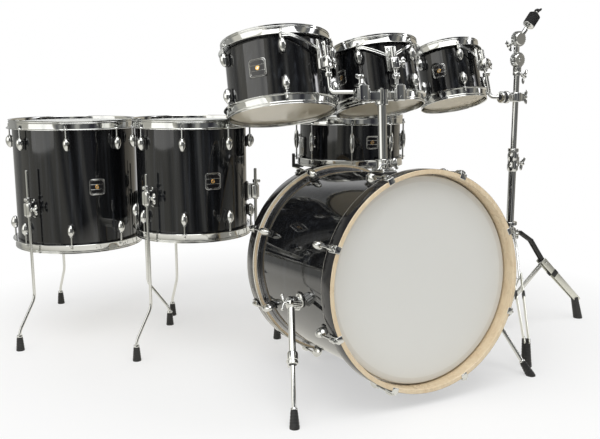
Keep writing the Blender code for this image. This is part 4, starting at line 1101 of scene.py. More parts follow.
    def rods(self, end: End) -> None:
        """The tension rods with washers and square heads.

        Args:
            end: which end of the drum.
        """
        drum = self.drum
        edge = drum.half
        tip = edge - drum.lug_inset + LUG_LENGTH / 2 if self.rod_tip is None else self.rod_tip
        shape = Shape()
        for angle, turn in zip(drum.lug_angles, self.lug_turns(end)):
            spot = turn @ move(drum.radius + ROD_OUT, 0, 0)
            shape.add(rod(Vector((0, 0, tip - 0.004)), Vector((0, 0, edge - 0.0145)), ROD_RADIUS, 12),
                spot)
            washer = lathe(mm([(0, -15), (5.8, -15), (6.2, -14.2), (5.2, -12.8), (0, -12.8)], up=edge),
                20)
            shape.add(washer, spot)
            shape.box((-0.0029, -0.0029, edge - 0.013), (0.0029, 0.0029, edge - 0.0035), 0.0007,
                spot @ spin_z(angle * 3), segments=2)
        publish(f"{drum.name}_{end.word}_rods", shape, (CHROME,), drum.body)

    def badge(self) -> None:
        """A plain badge with double outlines about the gold vent grommet."""
        drum = self.drum
        radius = drum.radius
        size = 0.052 if drum.depth > 0.2 else 0.044
        turn = drum.place @ spin_z(radians(drum.badge))
        plate = centred_box(Vector((size, size, 0.0012)), 0.0005, 2)
        corners = [e for e in plate.edges if abs(e.verts[0].co.z - e.verts[1].co.z) > 0.0001
            and abs(e.verts[0].co.x) > size * 0.45 and abs(e.verts[0].co.y) > size * 0.45]
        ops.bevel(plate, geom=corners, offset=size * 0.16, offset_type="OFFSET", segments=6,
            profile=BEVEL_PROFILE, affect="EDGES", material=NO_MATERIAL, clamp_overlap=True)
        ops.subdivide_edges(plate, edges=[e for e in plate.edges if e.calc_length() > size * 0.4], cuts=9,
            use_grid_fill=True)
        ops.triangulate(plate, faces=plate.faces)
        shape = Shape().add(bend_round(plate, radius + 0.0006), turn)
        for grow, thick in ((0.96, 0.00105), (0.83, 0.0005)):
            line = sweep([v + Vector((0, 0, 0.0008)) for v in dense(square_route(size * grow, size * grow,
                size * 0.17), 0.004)], thick, 8, True)
            shape.add(bend_round(line, radius + 0.0006), turn, 1)
        for height in (-0.155, 0.155):
            ends = [Vector((size * 0.42 * (i / 6 - 1), size * height, 0.0008)) for i in range(13)]
            line = sweep(ends, 0.0005, 8)
            shape.add(bend_round(line, radius + 0.0006), turn, 1)
        outward = move(radius, 0, 0) @ OUTWARD
        grommet = lathe(mm([(3, -4), (4.2, -4), (4.2, 0.8), (6.2, 1.2), (6.4, 1.9), (5.6, 2.6),
            (3.8, 2.6), (3, 1.8)]), 32)
        shape.add(grommet, turn @ outward, 2)
        core = lathe(mm([(0, 0.6), (3.1, 0.6), (3.1, 1.2), (0, 1.2)]), 24)
        shape.add(core, turn @ outward, 1)
        publish(f"{drum.name}_badge", shape, (BLACK_PLATE, SILVER_LINE, GOLD), drum.body)


def dense(route: Route, step: float) -> list[Vector]:
    """A closed route with points no further apart than a step.

    Args:
        route: the corners of the route.
        step: the longest way between two points.

    Returns:
        The points.
    """
    made = []
    for start, end in zip(route, list(route[1:]) + [route[0]]):
        count = max(1, ceil((end - start).length / step))
        made += [start.lerp(end, i / count) for i in range(count)]
    return made


# Bass drum, lying on its side with its front raised on two spurs.
BASS_RADIUS = 11 * INCH
BASS_HALF = 9 * INCH
BASS_LUGS = 8
BASS_PHASE = 22.5
BASS_LUG_INSET = 0.062
BASS_LIFT = radians(3.756)
BASS_HOOP_RADIUS = 0.2985
BASS_HOOP_WIDTH = 0.048
BASS_HOOP_STAND = 0.0344
BASS_HOOP_CLEAR = 0.006
BASS_ROD_OUT = 0.0262
BASS_LUG_OUT = 0.0165
BASS_LUG_HALF_REACH = 0.0195
ROOT = "drums_and_stands"


def bass_place() -> Matrix:
    """The bass drum's frame: origin at its middle, +Z out of its front, +Y up."""
    half = BASS_HALF + BASS_HOOP_STAND
    height = half * sin(BASS_LIFT) + BASS_HOOP_RADIUS * cos(BASS_LIFT)
    turn = Matrix.Rotation(pi / 2 - BASS_LIFT, 4, "X")
    return move_to(kit(0, 0, height)) @ turn


@dataclass
class BassDress:
    """Builds the bass drum: shell, lugs, heads, wooden hoops, claws and rods."""

    sides: int = 144

    def build(self) -> None:
        """Builds every piece of the bass drum."""
        self.shell()
        self.lug_set()
        for end in End:
            self.head(end)
            self.hoop(end)
            self.claws(end)

    @property
    def angles(self) -> list[float]:
        """The angles of the lugs, in radians."""
        return [radians(BASS_PHASE + 360 / BASS_LUGS * i) for i in range(BASS_LUGS)]

    def flipped(self, end: End) -> Matrix:
        """Carries a piece made for the front to its end of the drum; the batter is behind."""
        if end is End.BOTTOM:
            return bass_place()
        return bass_place() @ Matrix.Rotation(pi, 4, "X")

    @staticmethod
    def word(end: End) -> str:
        """The end's word in the bass drum's node names."""
        return "front" if end is End.BOTTOM else "batter"

    def shell(self) -> None:
        """The wrapped shell and its maple inside."""
        outer, half = BASS_RADIUS, BASS_HALF
        core, inner = outer - WRAP_THICKNESS, outer - 0.0075
        wrap = lathe([(core, -half + 0.003), (outer, -half + 0.003), (outer, half - 0.003),
            (core, half - 0.003)], self.sides)
        ply = lathe([(inner, -half + 0.005), (core - 0.0015, -half), (core, -half + 0.0012),
            (core, half - 0.0012), (core - 0.0015, half), (inner, half - 0.005)], self.sides)
        shape = Shape().add(wrap, bass_place()).add(ply, bass_place(), 1)
        publish("bass_wrapped_shell", shape, (WRAP, PLY), ROOT, ["bass_shell"])

    def lug_set(self) -> None:
        """Both rows of lugs."""
        shape = Shape()
        for end in End:
            for angle in self.angles:
                spot = self.flipped(end) @ spin_z(angle) @ move(BASS_RADIUS + BASS_LUG_OUT, 0,
                    BASS_HALF - BASS_LUG_INSET)
                DrumDress.cast_lug(shape, spot, BASS_LUG_HALF_REACH, BASS_LUG_OUT)
        publish("bass_lugs", shape, (CHROME, NYLON), ROOT)

    def head(self, end: End) -> None:
        """The smooth head in its alloy hoop.

        Args:
            end: which end of the drum.
        """
        outer, edge = BASS_RADIUS, BASS_HALF
        shoulder = edge + BASS_HOOP_STAND - BASS_HOOP_WIDTH
        film = [(0, edge + 0.0013), (outer * 0.5, edge + 0.0013), (outer * 0.94, edge + 0.0013),
            (outer * 0.95, edge + 0.0013), (outer - 0.005, edge + 0.0012),
            (outer - 0.0008, edge + 0.0004), (outer + 0.0012, edge - 0.0025),
            (outer + 0.0026, shoulder - 0.002), (outer + 0.0021, shoulder - 0.002),
            (outer + 0.0007, edge - 0.0022), (outer - 0.0012, edge), (outer - 0.005, edge + 0.0006),
            (0, edge + 0.0006)]
        solid = film_solid(film, outer, self.sides)
        word = self.word(end)
        publish(f"bass_{word}_film", Shape().add(solid, self.flipped(end)), (SMOOTH,), ROOT,
            [f"bass_{word}_head"])
        ring = lathe(mm([(0.8, -7.2), (9.2, -7.2), (9.8, -6.6), (9.8, -1), (9, -0.4), (0.8, -0.4)], outer,
            shoulder), self.sides)
        publish(f"bass_{word}_flesh_hoop", Shape().add(ring, self.flipped(end)), (ALLOY,), ROOT)

    def hoop(self, end: End) -> None:
        """A wooden hoop: lacquer outside, bare maple on its face and inside, and a pale strip along its rounded
        back edge as a painted highlight.

        Args:
            end: which end of the drum.
        """
        top = BASS_HALF + BASS_HOOP_STAND
        low = top - BASS_HOOP_WIDTH
        inner = BASS_RADIUS + BASS_HOOP_CLEAR
        outer = BASS_HOOP_RADIUS
        skin, turn = 0.0006, 0.0032
        wood = lathe([(inner, low + 0.001), (inner + 0.001, low), (outer - turn - skin, low),
            (outer - skin, low + turn + skin), (outer - skin, top - 0.0015), (outer - 0.002, top),
            (inner + 0.002, top), (inner, top - 0.002)], self.sides)
        edge = [radians(15 * step) for step in range(7)]
        coat = lathe([(outer - turn + turn * sin(a), low + turn - turn * cos(a)) for a in edge]
            + [(outer, top - 0.0026), (outer - 0.0006, top - 0.0012),
            (outer - skin - 0.0004, top - 0.0012), (outer - skin - 0.0004, low + turn + skin)],
            self.sides)
        # A thin pale strip over the coat's rounded back edge: a painted highlight where the gloss would mirror
        # the bright backdrop.
        line = [(outer - turn + reach * sin(radians(a)), low + turn - reach * cos(radians(a))) for reach,
            angles in ((turn + 0.0003, (8, 25, 42, 59, 76)), (turn - 0.0004, (76, 59, 42, 25, 8)))
            for a in angles]
        shape = Shape().add(wood, self.flipped(end)).add(coat, self.flipped(end), 1)
        shape.add(lathe(line, self.sides), self.flipped(end), 2)
        word = self.word(end)
        publish(f"bass_{word}_wooden_hoop", shape, (HOOP_MAPLE, HOOP_LACQUER, PAINTED_HIGHLIGHT_EDGE), ROOT,
            [f"bass_{word}_hoop"])

    def claws(self, end: End) -> None:
        """The claw hooks, each with its gasket, rod and square head.

        Args:
            end: which end of the drum.
        """
        top = BASS_HALF + BASS_HOOP_STAND
        tip = BASS_HALF - BASS_LUG_INSET + LUG_LENGTH / 2
        shape = Shape()
        for angle in self.angles:
            spot = self.flipped(end) @ spin_z(angle)
            outer = BASS_HOOP_RADIUS
            for low, high, bevel in (((outer + 0.0006, -0.0105, top - 0.03),
                    (outer + 0.0058, 0.0105, top + 0.0012), 0.0022),
                    ((outer - 0.011, -0.0095, top - 0.0006), (outer + 0.0056, 0.0095, top + 0.002),
                    0.0016), ((outer - 0.0112, -0.0085, top - 0.0022),
                    (outer - 0.0082, 0.0085, top + 0.0018), 0.001)):
                shape.box(low, high, bevel, spot)
            boss = lathe(mm([(0, -36), (4, -36), (6.8, -30), (7.4, -12), (6.6, -8), (0, -8)], up=top), 24)
            shape.add(boss, spot @ move(BASS_RADIUS + BASS_ROD_OUT, 0, 0))
            shape.box((outer - 0.0001, -0.011, top - 0.029), (outer + 0.001, 0.011, top + 0.0006), 0.0004,
                spot, 1)
            shift = move(BASS_RADIUS + BASS_ROD_OUT, 0, 0)
            shape.add(rod(Vector((0, 0, tip - 0.004)), Vector((0, 0, top - 0.01)), 0.0029, 14),
                spot @ shift)
            shape.add(rod(Vector((0, 0, top - 0.009)), Vector((0, 0, top - 0.0065)), 0.006, 20),
                spot @ shift)
            shape.box((-0.0031, -0.0031, top - 0.008), (0.0031, 0.0031, top + 0.0016), 0.0008,
                spot @ shift @ spin_z(angle * 2), segments=2)
        publish(f"bass_{self.word(end)}_claws", shape, (CHROME, NYLON), ROOT)


def collar(inner: float, outer: float, low: float, high: float, chamfer: float = 0.0008,
        sides: int = 32) -> BMesh:
    """A ring about +Z with broken outer edges; with no inner radius it is a disc."""
    return lathe([(inner, low), (outer - chamfer, low), (outer, low + chamfer), (outer, high - chamfer),
        (outer - chamfer, high), (inner, high)], sides)


def gear(radius: float, thickness: float, teeth: int = 20) -> BMesh:
    """A toothed disc about +Z, with its foot at the origin.

    Args:
        radius: radius over the teeth.
        thickness: height of the disc.
        teeth: how many teeth it has.

    Returns:
        The solid.
    """
    solid = bmesh.new()
    segments = teeth * 4
    ops.create_cone(solid, cap_ends=True, segments=segments, radius1=radius, radius2=radius,
        depth=thickness)
    ops.translate(solid, vec=(0, 0, thickness / 2), verts=solid.verts)
    for vert in solid.verts:
        place = round(atan2(vert.co.y, vert.co.x) / (2 * pi) * segments) % 4
        if place in (0, 1):
            vert.co.xy *= 0.945
    return solid


def memory_lock(shape: Shape, place: Matrix, bore: float) -> Shape:
    """Adds a rod's stop ring with its square-headed screw.

    Args:
        shape: the shape that takes it in.
        place: its frame, with +Z along the rod and +X to its ear.
        bore: radius of the rod.

    Returns:
        The shape.
    """
    outer = bore * 1.85
    shape.add(collar(bore, outer, -0.0055, 0.0055), place)
    shape.box((bore, -0.0045, -0.0048), (outer + 0.007, 0.0045, 0.0048), 0.0016, place)
    return shape.box((outer + 0.0015, 0.004, -0.0026), (outer + 0.0067, 0.0105, 0.0026), 0.0006, place,
        segments=2)


def strip(shape: Shape, start: Vector, end: Vector, across: Vector, thickness: float, width: float,
        material: int = 0) -> Shape:
    """Adds a flat bar with rounded edges; across is the way of its thickness.

    Args:
        shape: the shape that takes it in.
        start: middle of its first end.
        end: middle of its last end.
        across: the way of its thickness.
        thickness: its thickness.
        width: its width.
        material: index of its material.

    Returns:
        The shape.
    """
    solid = soft_box(Vector((-thickness / 2, -width / 2, 0)),
        Vector((thickness / 2, width / 2, (end - start).length)), min(thickness, width) * 0.35)
    return shape.add(solid, aim(start, end - start, across), material)


def rivet(shape: Shape, middle: Vector, way: Vector, reach: float, radius: float) -> Shape:
    """Adds a bolt with a domed head at both ends of its way.

    Args:
        shape: the shape that takes it in.
        middle: its middle.
        way: the way of its stem.
        reach: half its length.
        radius: radius of its heads.

    Returns:
        The shape.
    """
    place = aim(middle, way)
    dome = [(0, -reach), (radius * 0.7, -reach), (radius, -reach + 0.0012), (radius, -reach + 0.0022),
        (radius * 0.6, -reach + 0.0024), (radius * 0.6, reach - 0.0024), (radius, reach - 0.0022),
        (radius, reach - 0.0012), (radius * 0.7, reach), (0, reach)]
    return shape.add(lathe(dome, 20), place)


def drum_spot(drum: Drum, degrees: float, out: float = 0.0, height: float = 0.0) -> Matrix:
    """A frame on a drum's side: +X away from the shell, +Z along the drum."""
    turn = drum.place @ spin_z(radians(degrees))
    return turn @ move(drum.radius + out, 0, height)


def arm_route(drum: Drum, start: Vector) -> list[Vector]:
    """The rod of a rack tom: from its seat, level, then up beside the drum.

    Args:
        drum: the rack tom.
        start: the rod's seat.

    Returns:
        The points of the route.
    """
    rise = facing(drum.place, 0, 0, 1)
    base = drum.place @ polar(drum.radius + ARM_OUT, radians(drum.bracket))
    low = base + rise * ((start.z - base.z) / rise.z)
    return rounded_route([start, low, base + rise * ARM_TOP], 0.015, 8)


@dataclass
class TomMount:
    """Dresses the suspension bracket of a rack tom: band, hooks, plate and rod clamp."""

    drum: Drum
    band_low: float = -0.0275
    band_high: float = -0.0195
    thickness: float = 0.003
    sag: float = 0.032
    plate_width: float = 0.034
    clamp: tuple[float, float, float] = (0.03, 0.026, 0.034)

    def build(self) -> None:
        """Builds the bracket as one piece."""
        drum, shape = self.drum, Shape()
        inner = drum.radius + ROD_OUT + 0.0034
        low, high = drum.half + self.band_low, drum.half + self.band_high
        ends = (drum.phase - 360 / drum.lugs, drum.phase)
        half = radians(360 / drum.lugs) * inner / 2
        band = soft_box(Vector((-half, low, 0)), Vector((half, high, self.thickness)), 0.001)
        long_edges = [edge for edge in band.edges if edge.calc_length() > half]
        ops.subdivide_edges(band, edges=long_edges, cuts=32)
        middle = drum.place @ spin_z(radians(sum(ends) / 2))
        aside = radians(drum.bracket - sum(ends) / 2) * inner

        def dip(x: float) -> float:
            """How far the band hangs down where it nears the clamp."""
            near = max(0.0, 1 - abs(x - aside) / (half * 0.92))
            return -self.sag * min(1.0, near * 1.25) ** 1.1

        for vert in band.verts:
            vert.co.y += dip(vert.co.x)
        shape.add(bend_round(band, inner), middle)
        for edge in (low + 0.0008, high - 0.0008):
            rim = [Vector((x, edge + dip(x), self.thickness * 0.8))
                for x in (half * (i / 24 - 1) for i in range(49))]
            shape.add(bend_round(sweep(rim, 0.0016, 8), inner), middle)
        for degrees in ends:
            spot = drum_spot(drum, degrees, ROD_OUT)
            shape.add(collar(0.0032, 0.0068, low - 0.0012, high + 0.0012), spot)
            shape.add(collar(0.003, 0.0052, low - 0.0022, high + 0.0018), spot, 1)
        spot = drum_spot(drum, drum.bracket)
        depth, width, height = (size / 2 for size in self.clamp)
        start = inner - drum.radius
        shape.box((start, -self.plate_width / 2, -height), (start + 0.0045, self.plate_width / 2,
            high - 0.012), 0.0016, spot)
        for side in (-1, 1):
            edge = side * (self.plate_width / 2 - 0.0022)
            shape.box((start, edge - 0.0018, -height * 0.96), (start + 0.0085, edge + 0.0018,
                high - 0.014), 0.0014, spot)
            seat = move(start + 0.004, side * 0.0085, high - 0.022)
            shape.add(collar(0.0014, 0.0042, 0, 0.0022), spot @ seat @ OUTWARD)
        shape.box((ARM_OUT - depth - 0.006, -width * 0.8, -height * 0.9),
            (ARM_OUT, width * 0.8, height * 0.9), 0.002, spot)
        shape.box((ARM_OUT - depth, -width, -height), (ARM_OUT + depth, width, height), 0.0048, spot,
            segments=4)
        shape.box((ARM_OUT + depth - 0.003, -0.0008, -height + 0.003),
            (ARM_OUT + depth + 0.0002, 0.0008, height - 0.003), 0.0003, spot, 1)
        at_rod = spot @ move(ARM_OUT, 0, 0)
        shape.add(collar(ARM_RADIUS, 0.0092, height - 0.001, height + 0.0022), at_rod)
        shape.add(collar(ARM_RADIUS, 0.0092, -height - 0.0022, -height + 0.001), at_rod)
        face = spot @ Vector((ARM_OUT + depth, -width * 0.35, 0))
        rivet(shape, face, facing(spot, 1, 0, 0), 0.0042, 0.0062)
        seat = spot @ Vector((ARM_OUT + 0.006, width, 0))
        way = facing(spot, 0, 1, 0)
        shape.add(collar(0, 0.0078, -0.001, 0.003), aim(seat, way))
        wing(shape, seat, way, facing(spot, 0, 0, 1), 0.017)
        publish(f"{drum.name}_suspension", shape, (CHROME, RUBBER), drum.body, [f"{drum.name}_bracket"])


HOLDER_RISE = 0.2276
HOLDER_REACH = {Side.LEFT: -0.07, Side.RIGHT: 0.05}
POST_ALONG = 0.049
BALL_RADIUS = 0.0147


def holder_place() -> Matrix:
    """The holder's frame: origin on the bass drum's top, +Z up along its post."""
    spot = move(0, BASS_RADIUS, POST_ALONG)
    return bass_place() @ spot @ Matrix.Rotation(-pi / 2, 4, "X")


@dataclass
class TomArm:
    """Dresses the rod of a middle rack tom, with its ball and its stop ring."""

    drum: Drum
    side: Side

    def build(self) -> None:
        """Builds the rod as one piece."""
        centre = holder_place() @ Vector((HOLDER_REACH[self.side], 0, HOLDER_RISE))
        route = arm_route(self.drum, centre)
        shape = Shape().add(sweep(route, ARM_RADIUS, 18))
        way = (route[1] - route[0]).normalized()
        shape.add(pebble(Vector((BALL_RADIUS,) * 3), 32), move_to(centre), 1)
        shape.add(collar(ARM_RADIUS, 0.008, BALL_RADIUS * 0.86, BALL_RADIUS + 0.004), aim(centre, way))
        finish_rod(shape, self.drum)
        publish(f"{self.drum.name}_rod", shape, (CHROME, NYLON), f"{self.drum.name}_arm",
            [f"{self.drum.name}_arm"])


def finish_rod(shape: Shape, drum: Drum) -> None:
    """Adds a rack tom rod's domed end and its stop ring under the bracket.

    Args:
        shape: the shape that takes it in.
        drum: the rack tom.
    """
    spot = drum_spot(drum, drum.bracket, ARM_OUT)
    shape.add(pebble(Vector((ARM_RADIUS, ARM_RADIUS, 0.002)), 18), spot @ move(0, 0, ARM_TOP))
    turn = spin_z(radians(LOCK_HEADING - drum.bracket))
    memory_lock(shape, spot @ move(0, 0, -LOCK_DROP) @ turn, ARM_RADIUS)


@dataclass
class Holder:
    """Dresses the holder of the middle toms: its post with two cups, and its base."""

    inside: float = 0.055
    cup_radius: float = 0.018
    cup_depth: float = 0.024
    rim_drop: float = 0.009
    hub_radius: float = 0.019
    base: tuple[float, float, float] = (0.074, 0.048, 0.014)

    def build(self) -> None:
        """Builds the post and the base."""
        self.post()
        self.base_plate()

    def post(self) -> None:
        """The post, its hub, the cross bar, both cups and their caps."""
        place, shape = holder_place(), Shape()
        foot = HOLDER_RISE - self.cup_depth
        shape.add(lathe([(0, -self.inside), (0.0112, -self.inside), (0.0125, 0.001 - self.inside),
            (0.0125, foot), (0, foot)], 40), place)
        hub = self.hub_radius
        shape.add(lathe([(0, foot - 0.012)] + mm([(-2, -12), (0, -10), (0, -2), (-1.2, -1), (-1.2, 0),
            (0, 1), (0, 27), (-1.2, 28), (-1.2, 29), (0, 30)], hub, foot)
            + [(hub, HOLDER_RISE + 0.001), (hub - 0.004, HOLDER_RISE + 0.005), (0, HOLDER_RISE + 0.006)],
            40), place)
        low, high = min(HOLDER_REACH.values()), max(HOLDER_REACH.values())
        shape.box((low + 0.015, -0.0135, foot - 0.002), (high - 0.015, 0.0135, foot + 0.026), 0.0052,
            place, segments=4)
        rivet(shape, place @ Vector((0, 0, HOLDER_RISE + 0.004)), facing(place, 0, 0, 1), 0.008, 0.0062)
        for reach in HOLDER_REACH.values():
            spot = place @ move(reach, 0, 0)
            rim, core = HOLDER_RISE - self.rim_drop, HOLDER_RISE - BALL_RADIUS - 0.0008
            cup = self.cup_radius
            shape.add(lathe([(0, foot)] + mm([(-5, 0), (-1, 4), (0, 8)], cup, foot)
                + mm([(0, -1), (-1, 0), (-4.8, 0)], cup, rim) + mm([(10.5, 3.8), (6, 1), (0, 0)],
                up=core), 40), spot)
            cap = HOLDER_RISE + BALL_RADIUS + 0.0008
            shape.box((-0.0175, -0.0205, foot - 0.002), (0.0175, 0.0165, foot + 0.0075), 0.0034, spot,
                segments=4)
            shape.box((-0.0155, -0.0236, foot), (0.0155, -0.0166, cap + 0.004), 0.003, spot, segments=4)
            for side in (-1, 1):
                ends = sorted((side * 0.0156, side * 0.0202))
                shape.box((ends[0], -0.0222, foot + 0.001), (ends[1], 0.005, HOLDER_RISE + 0.01), 0.0019,
                    spot)
            shape.box((-0.0105, -0.0215, cap), (0.0105, 0.013, cap + 0.006), 0.0024, spot)
            shape.add(collar(0.004, 0.0086, cap - 0.002, cap + 0.002), spot)
            shape.add(collar(0, 0.0075, cap + 0.005, cap + 0.009), spot)
            seat = spot @ Vector((0, 0, cap + 0.008))
            turn = spot.to_3x3()
            wing(shape, seat, turn @ UP, turn @ Vector((1, 0.25, 0)), 0.024)
            for height in (foot + 0.007, rim - 0.006):
                rivet(shape, spot @ Vector((0, -0.019, height)), turn @ Vector((0, 1, 0)), 0.005, 0.0034)
        publish("tom_holder", shape, (CHROME, NYLON), "holder_post", ["tom_holder_post"])

    def base_plate(self) -> None:
        """The base on the bass drum: plate, hinged collar, wing bolt and lever."""
        length, width, height = self.base
        place, shape = holder_place(), Shape()
        for scale, low, high, bevel, finish in ((1.05, -0.001, 0.0022, 0.001, 1),
                (1.0, 0.0015, 0.0075, 0.0028, 0), (0.8, 0.006, height, 0.0035, 0)):
            plate = centred_box(Vector((width * scale, length * scale, high - low)), bevel)
            shape.add(plate, place @ move(0, 0, (low + high) / 2), finish)
        for x in (-1, 1):
            for y in (-1, 1):
                seat = place @ Vector((x * width * 0.38, y * length * 0.41, 0.0065))
                rivet(shape, seat, facing(place, 0, 0, 1), 0.0042, 0.0036)
        shape.add(lathe(mm([(13, 0), (20.5, 0), (20.5, 14), (19, 17), (19, 35), (20.5, 37), (20.5, 39),
            (19.6, 40), (13, 40)]), 40), place)
        shape.add(collar(0.0128, 0.0165, 0.0385, 0.0412), place, 1)
        turn = place.to_3x3()
        for side in (-1, 1):
            shape.box((side * 0.006 - 0.003, -0.034, 0.016), (side * 0.006 + 0.003, -0.014, 0.037), 0.002,
                place)
        seat = place @ Vector((0.009, -0.026, 0.027))
        wing(shape, seat, turn @ Vector((1, 0, 0)), turn @ Vector((0, 0.3, 1)), 0.02)
        rivet(shape, place @ Vector((0, -0.026, 0.027)), turn @ Vector((1, 0, 0)), 0.0125, 0.0045)
        route = [place @ Vector(point) for point in ((-0.011, -0.026, 0.027), (-0.026, -0.029, 0.026),
            (-0.036, -0.034, 0.014))]
        shape.add(sweep(rounded_route(route, 0.01), 0.0036, 14))
        shape.add(pebble(Vector((0.0052, 0.0052, 0.0052)), 16), move_to(route[-1]))
        publish("tom_holder_base", shape, (CHROME, RUBBER), ROOT)


@dataclass
class Spur:
    """Dresses one spur: boss on the shell, folding tube with its lever, and sliding leg."""

    side: Side
    angle: float = radians(-10)
    along: float = 0.0536
    out: float = 0.03
    foot_at: tuple[float, float] = (0.388, -0.245)
    tube_length: float = 0.172

    def build(self) -> None:
        """Builds the three pieces."""
        sign = self.side.value
        radius = BASS_RADIUS + self.out
        pivot = bass_place() @ Vector((sign * radius * cos(self.angle), radius * sin(self.angle),
            self.along))
        foot = kit(sign * self.foot_at[0], self.foot_at[1], 0)
        way = (foot - pivot).normalized()
        out = Vector((sign, 0, 0))
        axis = (out - way * out.dot(way)).normalized()
        self.boss(pivot, axis)
        self.tube(pivot, way, axis)
        self.leg(pivot + way * self.tube_length, foot, way)

    def boss(self, pivot: Vector, axis: Vector) -> None:
        """The flange on the shell and the fixed half of the joint.

        Args:
            pivot: middle of the joint.
            axis: its axis, outwards.
        """
        shape = Shape()
        place = bass_place()
        inward = place.inverted() @ pivot
        out = facing(place, inward.x, inward.y, 0).normalized()
        root = place @ (Vector((inward.x, inward.y, 0)).normalized() * BASS_RADIUS
            + Vector((0, 0, self.along)))
        flange = aim(root, out, facing(place, 0, 0, 1))
        shape.add(collar(0, 0.0228, -0.0015, 0.0016, 0.0006, 40), flange, 1)
        shape.add(lathe(mm([(0, 1), (21, 1), (21, 4), (18.5, 6.5), (12.5, 8.5), (12.5, 10), (0, 10)]),
            40), flange)
        for i in range(3):
            spot = flange @ polar(0.0158, radians(90 + 120 * i), 0.0052)
            rivet(shape, spot, out, 0.0032, 0.003)
        face = pivot - axis * 0.0113
        shape.add(rod(root + out * 0.003, face - axis * 0.01, 0.0098, 24))
        shape.add(gear(0.0188, 0.0128, 22), aim(face - axis * 0.013, axis))
        publish(f"spur_{self.side.word}_boss", shape, (CHROME, RUBBER), ROOT)

    def tube(self, pivot: Vector, way: Vector, axis: Vector) -> None:
        """The folding tube with its eye, lever, collar and wing screw.

        Args:
            pivot: middle of the joint.
            way: the way of the tube.
            axis: the joint's axis, outwards.
        """
        shape = Shape()
        end = pivot + way * self.tube_length
        shape.add(gear(0.0188, 0.01, 22), aim(pivot - axis * 0.0108, axis))
        shape.add(lathe(mm([(0, 0), (17.8, 0), (17.8, 8.5), (15, 11.5), (8, 12.5), (0, 12.5)]), 36),
            aim(pivot - axis * 0.0012, axis))
        shape.add(rod(pivot, end, 0.0095, 28, 0.001))
        collar_place = aim(end, -way, axis)
        shape.add(lathe(mm([(6.5, 0), (12.5, 0), (14.5, 2), (14.5, 9), (13.2, 10.5), (13.2, 12),
            (14.5, 13.5), (14.5, 30), (12.5, 34), (9.5, 34)]), 32), collar_place)
        shape.add(collar(0.0062, 0.0105, -0.0015, 0.001), collar_place, 1)
        across = axis.cross(way) * self.side.value
        seat = end - way * 0.017 + across * 0.0135
        shape.add(collar(0, 0.007, -0.001, 0.004), aim(seat, across))
        wing(shape, seat, across, way, 0.019)
        start = pivot + axis * 0.01
        for bend in (1, -1):
            route = [start, start + axis * 0.012 + way * bend * 0.004,
                start + axis * 0.015 + way * bend * 0.02 + across * 0.002]
            shape.add(sweep(rounded_route(route, 0.006), 0.0032, 14))
            shape.add(pebble(Vector((0.0046,) * 3), 16), move_to(route[-1]))
        shape.add(rod(pivot, start + axis * 0.006, 0.0068, 24))
        publish(f"spur_{self.side.word}_folding_tube", shape, (CHROME, NYLON), f"spur_{self.side.word}",
            [f"spur_{self.side.word}_tube"])

    def leg(self, end: Vector, foot: Vector, way: Vector) -> None:
        """The sliding rod with its rubber foot.

        Args:
            end: where the tube ends.
            foot: where the leg stands.
            way: the way of the rod.
        """
        shape = Shape()
        shape.add(rod(end - way * 0.08, foot - way * 0.03, 0.006, 24))
        neck = foot - way * FOOT_LENGTH
        shape.add(lathe(mm([(6, -4), (8.8, -4), (9.4, -3), (9.4, 1), (6, 1)]), 28), aim(neck, way))
        rubber_foot(shape, neck, foot)
        publish(f"spur_{self.side.word}_sliding_leg", shape, (CHROME, RUBBER),
            f"spur_{self.side.word}_leg", [f"spur_{self.side.word}_leg"])


